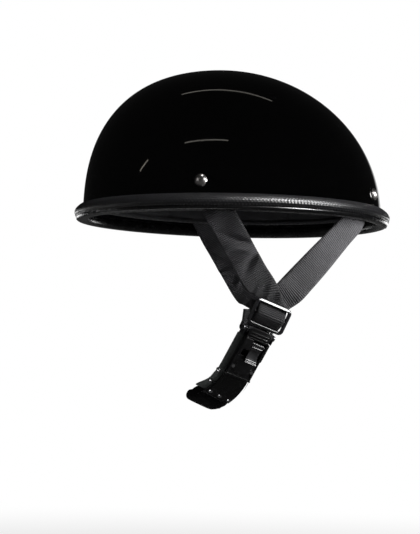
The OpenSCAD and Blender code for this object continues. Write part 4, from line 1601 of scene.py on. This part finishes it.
@dataclass
class BuckleAssembly(Assembly):
    """The lever buckle: housing, base plate, bar, lever, pin and spring."""

    width: float = 23
    lever_x: float = 2
    lever_w: float = 10.4
    ring_sides: int = 32
    pin: float = 1.2
    bore: float = 1.24
    barrel: float = 2.5
    rib: float = 0.95
    turns: int = 3
    wire: float = 0.35
    lead: float = 1.15

    def lever_rows(self) -> Rows:
        """Lay out the lever's finger plate, which is hollowed, waisted and flared.

        Returns:
            The rows across it.
        """
        b, p, top = LAYOUT.buckle, LAYOUT.pin_s, LAYOUT.roof
        line = spline([Vector(v) for v in (
            (p - 1.2, top + 1.55), (p - 3, top + 1.75), (p - 5.5, top + 0.95), (p - 8.4, top + 0.9),
            (p - 11, top + 1.5), (p - 13.2, top + 2.3), (p - 14.8, top + 3.3), (p - 15.9, top + 4.8))], 5)
        n = len(line)
        upper, lower = [], []
        for i, spot in enumerate(line):
            d = (line[min(i + 1, n - 1)] - line[max(i - 1, 0)]).normalized()
            side = Vector((-d.y, d.x))
            if side.y < 0:
                side = -side
            t = i / (n - 1)
            thick = 0.7 * (1 - 0.35 * ease((t - 0.85) / 0.15))
            ridge = sum(0.42 * math.exp(-((t - c) / 0.022) ** 2) for c in (0.82, 0.93))
            upper.append((spot + side * (thick + ridge), t))
            lower.append((spot - side * thick, t))
        ring = upper + list(reversed(lower))
        rows = []
        for k in range(13):
            x = mix(-1.0, 1.0, k / 12)
            row = []
            for j, (q, t) in enumerate(ring):
                waist = 1 - 0.13 * math.exp(-((t - 0.42) / 0.2) ** 2) + 0.03 * ease((t - 0.8) / 0.2)
                hollow = 0.55 * (1 - x * x) * math.exp(-((t - 0.5) / 0.26) ** 2) if j < n else 0
                edge = 0.25 * (abs(x) > 0.99)
                z = q.y - hollow - (edge if j < n else -edge)
                row.append(b.at(self.lever_x + x * self.lever_w / 2 * waist, q.x, z))
            rows.append(row)
        return rows

    def ring(self, name: str, s: float, z: float, inner: float, outer: float, edge: float) -> Piece:
        """Make a barrel with a bore, across the lever.

        Args:
            name: the object's name.
            s: the height of its middle on the buckle.
            z: how far its middle stands out.
            inner: the bore's radius.
            outer: the barrel's radius.
            edge: the size of its worn edges.

        Returns:
            The barrel.
        """
        b, half = LAYOUT.buckle, self.lever_w / 2
        section = [(-half, inner), (-half, outer - edge), (-half + edge, outer), (half - edge, outer),
                   (half, outer - edge), (half, inner)]
        turns = [math.tau * k / self.ring_sides for k in range(self.ring_sides)]
        rows = [[b.at(self.lever_x + x, s + r * math.cos(a), z + r * math.sin(a)) for x, r in section]
                for a in turns]
        return skin(name, rows, loop=True, sharp=40)

    def shoulder(self) -> Piece:
        """Make the arched cheek beside the lever, over the spring.

        Returns:
            The cheek.
        """
        b, hw, low = LAYOUT.buckle, self.width / 2, LAYOUT.roof - 0.6
        stations = ((19.2, 6.4, 0.3), (20.2, 6.9, 0.8), (21.8, 8.0, 1), (24.5, 9.2, 1), (28, 9.8, 1),
                    (33, 9.9, 1), (36.2, 9.4, 1), (37.6, 8.2, 0.9))
        rows = []
        for s, top, full in spline([Vector(v) for v in stations], 3):
            x0, x1 = -hw - 0.1, mix(-hw + 1.6, -hw + 2.3, full)
            rise = max(top - low, 0.2)
            section = ((x0, 0), (x0 + 0.05, 0.55), (x0 + 0.35, 0.86), (x0 + 0.95, 1), (x1 - 0.5, 1),
                       (x1 - 0.1, 0.9), (x1, 0.7), (x1, 0))
            rows.append([b.at(x, s, low + rise * share) for x, share in section])
        return skin("housing_shoulder", rows, caps=True, sharp=50)

    def spring(self) -> Piece:
        """Wind the lever's return spring round its pin.

        Returns:
            The spring.
        """
        b, p, z = LAYOUT.buckle, LAYOUT.pin_s, LAYOUT.pin_z
        r = self.pin + 0.45 + self.wire
        x0 = self.lever_x - self.lever_w / 2 - 0.6 - self.turns * self.lead
        coil = [b.at(x0, p - r, z - 2.2), b.at(x0, p - r, z - 1)]
        for k in range(24 * self.turns + 1):
            a = math.radians(15 * k)
            coil.append(b.at(x0 + self.lead * k / 24, p - r * math.cos(a), z - r * math.sin(a)))
        coil += [b.at(x0 + 3.75, p - r - 1.6, z + 0.1), b.at(x0 + 5.65, p - r - 3.4, z - 0.2)]
        return sweep("lever_spring_wire", coil, self.wire, 10)

    def build(self) -> None:
        """Build and dress the buckle."""
        b = LAYOUT.buckle
        self.fit(softened("buckle_housing", "housing_body", 0.32), HOUSING, Body.HELMET, "buckle_housing")
        base = softened("buckle_base_plate", "housing_base_plate", 0.22)
        self.fit(base, BASE, Body.HELMET, "buckle_base_plate")
        corners = [(-6.6, 4.2), (6.6, 4.2), (6.9, 11.5), (4.4, 17.4), (-4.4, 17.4), (-6.9, 11.5)]
        shield = rounded(corners, 2.4, 6)
        panel = plate("housing_shield", b, shield, LAYOUT.roof, LAYOUT.roof + 0.9, 0.35, 0.35)
        self.fit(panel, HOUSING, Body.HELMET)
        self.fit(self.shoulder(), HOUSING, Body.HELMET)
        lever = skin("lever_plate", self.lever_rows(), caps=True, sharp=50)
        self.fit(lever, LEVER, Body.LEVER, "buckle_lever")
        p, z = LAYOUT.pin_s, LAYOUT.pin_z
        self.fit(self.ring("lever_barrel", p, z, self.bore, self.barrel, 0.3), LEVER, Body.LEVER)
        half = self.lever_w / 2 - 0.25
        for name, s, h in (("lever_rib_upper", p + 1.4, z + 2.25), ("lever_rib_lower", p - 1.9, z + 2.7)):
            rib = [b.at(self.lever_x + mix(-half, half, k / 8), s, h) for k in range(9)]
            self.fit(sweep(name, rib, self.rib, 14), LEVER, Body.LEVER)
        pawl = [(p - 5, LAYOUT.roof + 1.2), (p - 8.4, LAYOUT.roof + 0.8), (p - 7.6, LAYOUT.tongue_top + 0.25),
                (p - 6.4, LAYOUT.tongue_top + 0.25)]
        rows = [[b.at(self.lever_x + x, s, h) for s, h in pawl] for x in (-4.6, 4.6)]
        self.fit(skin("lever_pawl", rows, caps=True, sharp=30), LEVER, Body.LEVER)
        self.fit(self.spring(), SPRING, Body.HELMET, "lever_spring")
        for node, finish in (("buckle_bar", BAR), ("housing_rivets", SMALL_RIVET), ("lever_pin", BAR)):
            self.keep(node, finish)


@dataclass
class ChinAssembly(Assembly):
    """The tongue, the jaw guard and the padded chin rest."""

    tongue_w: float = 24
    blade_w: float = 14
    reach: float = 28
    crown: float = 0.35
    tooth: float = 2.6
    teeth: int = 4
    pad_w: float = 33
    pad_rise: float = 9
    pad_skin: float = 2
    pad_end: float = 0.58
    puff: float = 1.2
    voxel: float = 2.6
    sewn: float = 15
    frames: int = 20
    tongue_steps: int = 32
    guard_steps: int = 12
    pad_steps: int = 64
    pad_sides: int = 48
    guard_front: float = 5.4
    guard_back: float = 10.5
    guard_t: float = 2

    def tongue(self) -> Piece:
        """Make the tongue's outer plate, which follows the jaw, with a rolled lip at its lower end.

        Returns:
            The plate.
        """
        low, top, w = LAYOUT.tongue_low, LAYOUT.tongue_top, self.tongue_w / 2
        rows = []
        for k in (i / self.tongue_steps for i in range(self.tongue_steps + 1)):
            f = LAYOUT.jaw(mix(0.618, 0.986, k))
            lip = 0.9 * math.exp(-((k - 0.035) / 0.022) ** 2)
            tuck = 1 - 0.25 * (k < 0.001 or k > 0.999)
            row = [(-w, low + 0.3), (-w + 0.3, low), (w - 0.3, low), (w, low + 0.3), (w, top - 0.6),
                   (w - 0.22, top - 0.15), (w - 0.7, top)]
            row += [(x, top + self.crown * (1 - (x / w) ** 2) + lip)
                    for x in (mix(w - 0.7, -w + 0.7, j / 10) for j in range(1, 10))]
            row += [(-w + 0.7, top), (-w + 0.22, top - 0.15), (-w, top - 0.6)]
            middle = (low + top) / 2
            rows.append([f.at(x, 0, middle + (z - middle) * tuck) for x, z in row])
        return skin("tongue_plate", rows, caps=True, sharp=50)

    def blade(self) -> Piece:
        """Make the toothed blade that slides into the housing.

        Returns:
            The blade.
        """
        b, low, top, w = LAYOUT.buckle, LAYOUT.tongue_low, LAYOUT.tongue_top, self.blade_w / 2
        first = self.reach - self.teeth * self.tooth - 1
        side = [(-3.0, low), (self.reach - 0.5, low), (self.reach, low + 0.4), (self.reach, top - 0.7)]
        for k in range(self.teeth, 0, -1):
            side += [(first + self.tooth * k, top - 0.7), (first + self.tooth * k - 0.05, top)]
        side += [(first, top - 0.7), (first - 0.5, top), (-3.0, top)]
        rows = [[b.at(x, s, (low + top) / 2 + (z - (low + top) / 2) * k) for s, z in side]
                for x, k in ((-w, 0.8), (-w + 0.2, 1), (w - 0.2, 1), (w, 0.8))]
        return skin("tongue_blade", rows, caps=True, sharp=25)

    def guard(self) -> Piece:
        """Make the thin guard behind the buckle, with its front edge turned out.

        Returns:
            The guard.
        """
        level = LAYOUT.plate_low - 0.4 - self.guard_t / 2
        places = [LAYOUT.jaw(mix(0.586, 1, k / 24)) for k in range(25)]
        b = LAYOUT.buckle
        places += [Place(b.at(0, s, 0), b.across, b.up, b.out) for s in (6, 12, 18, 24, 30, 36.3)]
        h = self.guard_t / 2
        rows = []
        n = len(places)
        for i, f in enumerate(places):
            tuck = 0.7 if i in (0, n - 1) else 1
            front = -LAYOUT.web_w / 2 - self.guard_front - 3.6 * (1 - ease(i / 15)) + 1.2 * ease((i - 18) / 8)
            top, low = [], []
            for k in range(self.guard_steps + 1):
                x = mix(front, self.guard_back, k / self.guard_steps)
                turned = ease((front + 7 - x) / 7)
                edge = 0.4 if k in (0, self.guard_steps) else 0
                top.append(f.at(x, 0, level + (h - edge) * tuck + turned))
                low.append(f.at(x, 0, level - (h - edge) * tuck + turned))
            rows.append(top + list(reversed(low)))
        return skin("jaw_guard_band", rows, caps=True, sharp=50)

    def pad_rows(self, slack: float) -> Rows:
        """Return the rows of the padded rest: crowned, pinched at its ends, with a welt and folds.

        Args:
            slack: how far the rows lie inside the full form, all round.

        Returns:
            The rows, each closed round the strap.
        """
        web_z = LAYOUT.tongue_low - LAYOUT.web_fit - LAYOUT.web_t / 2
        rows = []
        for i in range(self.pad_steps + 1):
            u = mix(-0.985, 0.985, i / self.pad_steps)
            f = LAYOUT.jaw(self.pad_end * u)
            swell = max(0.0, 1 - abs(u) ** 5) ** 0.5
            w = mix(LAYOUT.web_w + 3.4, self.pad_w, swell) / 2
            rise = mix(LAYOUT.web_t + 1.6, self.pad_rise + 3 * ease(abs(u) * 2 - 0.5), swell)
            skin_t = mix(LAYOUT.web_t / 2 + 0.9, LAYOUT.web_t / 2 + self.pad_skin, swell)
            row = []
            for a in (math.tau * k / self.pad_sides for k in range(self.pad_sides)):
                c, s = math.cos(a), math.sin(a)
                half = w - 2 * swell if c < 0 else w
                x = half * math.copysign(abs(c) ** (0.5 if s > 0 else 0.36), c)
                z = (skin_t if s > 0 else rise) * math.copysign(abs(s) ** (0.7 if s > 0 else 0.5), s)
                x, z = x * (1 - slack / half), z + math.copysign(slack * 0.6 * abs(s), -s)
                fold = 0.35 * math.sin(u * 46 + 2 * c) * ease(abs(u) * 2.2 - 1.2) * max(0, -s)
                soft = 0.4 * noise.noise(Vector((x * 0.12, u * 7, z * 0.15)))
                welt = -0.45 * math.exp(-(s / 0.07) ** 2)
                grow = 1 + (fold + soft) / 12
                row.append(f.at(x * grow + welt * math.copysign(1, c), 0, web_z + z * grow))
            rows.append(row)
        return rows

    def stuffed(self, form: Piece) -> Piece:
        """Blow the rest up with a short cloth simulation, its two ends sewn down.

        Args:
            form: the slack form; it is removed.

        Returns:
            The stuffed rest.
        """
        scene = bpy.context.scene
        even = form.modifiers.new("even", "REMESH")
        even.mode, even.voxel_size = "VOXEL", self.voxel * MM
        mesh = worked(form)
        bpy.data.objects.remove(form)
        pad = bpy.data.objects.new("chin_pad_cushion", mesh)
        scene.collection.objects.link(pad)
        rest = [v.co.copy() for v in mesh.vertices]
        ends = [LAYOUT.jaw(self.pad_end * u * 0.985).origin * MM for u in (-1, 1)]
        near = [k for k, spot in enumerate(rest) if min((spot - e).length for e in ends) < self.sewn * MM]
        pad.vertex_groups.new(name="sewn").add(near, 1, "REPLACE")
        cloth = pad.modifiers.new("stuffing", "CLOTH")
        values = {"quality": 6, "mass": 0.2, "tension_stiffness": 12, "compression_stiffness": 12,
                  "bending_stiffness": 0.4, "use_pressure": True, "uniform_pressure_force": 4,
                  "vertex_group_mass": "sewn"}
        for key, value in values.items():
            setattr(cloth.settings, key, value)
        cloth.settings.effector_weights.gravity = 0
        cloth.point_cache.frame_start, cloth.point_cache.frame_end = 1, self.frames
        for number in range(1, self.frames + 1):
            scene.frame_set(number)
        blown = worked(pad)
        for v, was in zip(blown.vertices, rest):
            move = v.co - was
            v.co = was + move * min(1.0, self.puff * MM / max(move.length, 1e-9))
        pad.modifiers.clear()
        pad.data = blown
        scene.frame_set(1)
        finer = pad.modifiers.new("finer", "SUBSURF")
        finer.levels = finer.render_levels = 1
        smooth = worked(pad)
        pad.modifiers.clear()
        pad.vertex_groups.clear()
        pad.data = smooth
        smooth.shade_smooth()
        return pad

    def build(self) -> None:
        """Build and dress the chin pieces."""
        self.fit(self.tongue(), TONGUE, Body.CHIN_BAND, "buckle_tongue")
        self.fit(self.blade(), TONGUE, Body.CHIN_BAND, "buckle_tongue")
        self.fit(self.guard(), GUARD, Body.CHIN_BAND, "jaw_guard")
        pad = self.stuffed(skin("chin_pad_form", self.pad_rows(0.8), caps=True, sharp=80))
        self.fit(pad, PAD, Body.CHIN_BAND, "chin_pad")
        for node in ("tongue_rivets", "guard_rivets"):
            self.keep(node, SMALL_RIVET)


# ---------------------------------------------------------------- studio


@dataclass(frozen=True)
class Lamp:
    """An area lamp: a long strip or a softbox that faces a point."""

    name: str
    place: Vector
    along: Vector
    length: float
    width: float
    power: float
    colour: Colour = (1, 1, 1)
    aim: Vector = field(default_factory=lambda: Vector((0, 0, 0.05)))

    def hang(self, group: bpy.types.Collection | None = None, state: str = "EXCLUDE") -> Piece:
        """Hang the lamp in the scene.

        Args:
            group: a collection that the lamp treats apart, if any.
            state: EXCLUDE leaves the group unlit, INCLUDE lights nothing else.

        Returns:
            The lamp.
        """
        data = bpy.data.lights.new(self.name, "AREA")
        data.shape = "RECTANGLE"
        data.size, data.size_y = self.length, self.width
        data.energy = self.power
        data.color = self.colour
        obj = bpy.data.objects.new(self.name, data)
        bpy.context.scene.collection.objects.link(obj)
        back = (self.place - self.aim).normalized()
        x = (self.along - back * self.along.dot(back)).normalized()
        y = back.cross(x)
        m = obj.matrix_world.copy()
        for r in range(3):
            m[r][0], m[r][1], m[r][2], m[r][3] = x[r], y[r], back[r], self.place[r]
        obj.matrix_world = m
        if group is not None:
            obj.light_linking.receiver_collection = group
            for item in group.collection_objects:
                item.light_linking.link_state = state
        return obj


@dataclass
class Studio:
    """The camera at the photograph's angle, a pale floor, and plain soft light."""

    floor_z: float = -0.42
    ambient: float = 0.13

    def camera(self) -> None:
        """Set up the camera."""
        data = bpy.data.cameras.new("photo_camera")
        data.sensor_fit = "HORIZONTAL"
        data.sensor_width = 36
        data.lens = 118.067
        obj = bpy.data.objects.new("photo_camera", data)
        obj.location = (1.24923853, -0.04167437, -0.1422)
        obj.rotation_euler = [math.radians(a) for a in (94.72708525, -1.33589051, 88.84770397)]
        bpy.context.scene.collection.objects.link(obj)
        bpy.context.scene.camera = obj

    def floor(self) -> None:
        """Lay a pale floor that fades into the white ground and keeps the helmet's shadow."""
        bm = bmesh.new()
        bmesh.ops.create_circle(bm, cap_ends=True, segments=96, radius=14)
        for v in bm.verts:
            v.co.z = self.floor_z
        obj = finish_mesh("studio_floor", bm, 60)
        mat = bpy.data.materials.new("floor_paper")
        mat.use_nodes = True
        g = Graph(mat.node_tree)
        seen = g.node("ShaderNodeLightPath", out="Is Camera Ray")
        mirrored = (seen.port("Is Glossy Ray") + seen.port("Is Transmission Ray")).math("MINIMUM", 1.0)
        here = g.node("ShaderNodeTexCoord", out="Object")
        away = g.node("ShaderNodeVectorMath", {"operation": "LENGTH"}, {0: here}, "Value")
        paper = g.node("ShaderNodeBsdfDiffuse", {}, {"Color": (0.86, 0.86, 0.87)})
        white, dim = (g.node("ShaderNodeEmission", {}, {"Color": (1.0, 1.0, 1.0), "Strength": light})
                      for light in (1.0, 0.07))
        fade = seen * away.step(0.7, 1.9, 0.55, 1.0)
        lit = g.node("ShaderNodeMixShader", {}, {0: fade, 1: paper, 2: white})
        g.surface(g.node("ShaderNodeMixShader", {}, {0: mirrored, 1: lit, 2: dim}))
        obj.data.materials.append(mat)

    def sky(self) -> None:
        """Make the world: white ground, brighter behind the helmet in reflections, and an even soft light."""
        world = bpy.data.worlds.new("studio")
        world.use_nodes = True
        bpy.context.scene.world = world
        g = Graph(world.node_tree)
        path = g.node("ShaderNodeLightPath", out="Is Camera Ray")
        direction = g.node("ShaderNodeSeparateXYZ", {}, {0: g.node("ShaderNodeTexCoord", out="Generated")})
        behind = (direction.port("X") * -0.95 + direction.port("Y") * 0.31).step(0.955, 1.0)
        glossy = path.port("Is Glossy Ray") + path.port("Is Transmission Ray")
        mirror = (behind * 1.4 + 0.014) * glossy.math("MINIMUM", 1.0)
        plain = (1 - path) * (1 - glossy.math("MINIMUM", 1.0)) * self.ambient
        level = path + mirror + plain
        lit = g.node("ShaderNodeBackground", {}, {"Color": (1.0, 1.0, 1.0), "Strength": level})
        g.node("ShaderNodeOutputWorld", {}, {"Surface": lit})

    @staticmethod
    def gather(name: str, pieces: Sequence[Piece]) -> bpy.types.Collection:
        """Gather pieces in a collection for the lamps only.

        Args:
            name: the collection's name.
            pieces: the objects in it.

        Returns:
            The collection.
        """
        group = bpy.data.collections.new(name)
        for piece in pieces:
            group.objects.link(piece)
        return group

    def lamps(self) -> None:
        """Hang the strips that draw the lines on the shell, and the softboxes that light the rest."""
        objects, nodes = bpy.data.objects, frame["nodes"]
        dome = self.gather("shell_and_trim", [objects["shell"], objects["rim_trim"]])
        rim = self.gather("rim_only", [objects["rim_trim"]])
        rear = self.gather("rear_straps", [objects[side + "_rear_strap_web"] for side in ("left", "right")])
        names = ("tongue_plate", "housing_body", "jaw_guard_band")
        low = self.gather("low_edges", [objects[n] for n in names])
        heads = self.gather("small_heads", [nodes[n + "_rivets"] for n in ("tongue", "guard", "housing")])
        names = ("left_glide_frame", "right_glide_frame", "lever_plate", "lever_barrel", "lever_rib_upper",
                 "lever_rib_lower", "housing_shoulder")
        bright = self.gather("bright_edges", [objects[n] for n in names])
        warm = {"colour": (1, 0.96, 0.86)}
        table = (
            ("strip_over", (-0.034, -0.024, 1.40), (0.09, 1.02, 0.02), 1.02, 0.03, 0.16, None, warm),
            ("strip_side", (1.02, -0.42, 0.845), (0.17, 0.6, 0.09), 0.61, 0.018, 0.075, None, warm),
            ("strip_front", (0.594, -1.181, 0.49), (0.07, 0.086, 0.12), 0.17, 0.014, 0.03, None,
             {"colour": (1, 0.93, 0.8)}),
            ("top_box", (0.2, 0.13, 1.28), (0, 1, 0), 0.22, 0.3, 2.6, dome, {}),
            ("front_box", (0.7, -1.2, 0.35), (1, 0.9, 0), 0.7, 0.7, 1.2, dome, {}),
            ("key_box", (0.95, 0.98, 0.56), (0.7, -0.75, 0), 0.6, 0.5, 4, dome, {}),
            ("rear_box", (0.32, 1.40, 0.22), (0.9, -0.25, 0), 0.5, 0.8, 32, dome, {}),
            ("rear_strap_box", (0.32, 1.40, 0.22), (0.9, -0.25, 0), 0.5, 0.8, 44, rear, {}),
            ("low_strip", (0.62, -0.75, -0.40), (0.4, 0.3, 1), 0.5, 0.05, 0.7, low, {}),
            ("heads_box", (0.9, -0.5, -0.40), (0.4, 1, 0), 0.5, 0.5, 6, heads, {}),
            ("rim_box", (0.76, 0.70, 0.92), (0, 0, 1), 0.66, 0.2, 54, rim, {}),
            ("rim_end_front", (-1.0, -0.75, -0.08), (0.6, -0.8, 0), 0.4, 0.4, 2.2, rim, {}),
            ("rim_end_rear", (-1.0, 0.75, -0.08), (0.6, -0.8, 0), 0.4, 0.4, 2.2, rim, {}),
            ("rim_streak", (-0.06, -1.3, -0.09), (1, 0, 0), 0.4, 0.03, 1, rim, {}),
            ("rim_under", (-0.12, -0.24, -0.41), (0.7, 0.7, 0), 0.62, 0.05, 0.3, rim,
             {"aim": Vector((-0.12, -0.24, 0))}),
            ("lever_box", (0.7, 1.12, 0.46), (0.7, -0.7, 0), 0.3, 0.3, 10, bright, {}),
            ("edge_box", (0.87, 0.87, 0.67), (0.7, -0.7, 0), 0.34, 0.3, 8, bright, {}),
        )
        for name, place, along, length, width, power, group, extra in table:
            lamp = Lamp(name, Vector(place), Vector(along), length, width, power, **extra)
            lamp.hang(group, "EXCLUDE" if group is dome else "INCLUDE")

    def build(self) -> None:
        """Set the studio up."""
        bpy.context.scene.view_settings.view_transform = "Standard"
        self.camera()
        self.floor()
        self.sky()
        self.lamps()


def main() -> None:
    """Build the helmet's assemblies in order, then the studio."""
    logging.basicConfig(level=logging.INFO, format="%(name)s: %(message)s")
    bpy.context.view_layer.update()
    kinds = ShellAssembly, LinerAssembly, StrapAssembly, GlideAssembly, BuckleAssembly, ChinAssembly
    for part in (kind() for kind in kinds):
        part.build()
        LOG.info("%s: %d pieces", type(part).__name__, len(part.made))
    Studio().build()


if __name__ == "__main__":
    main()
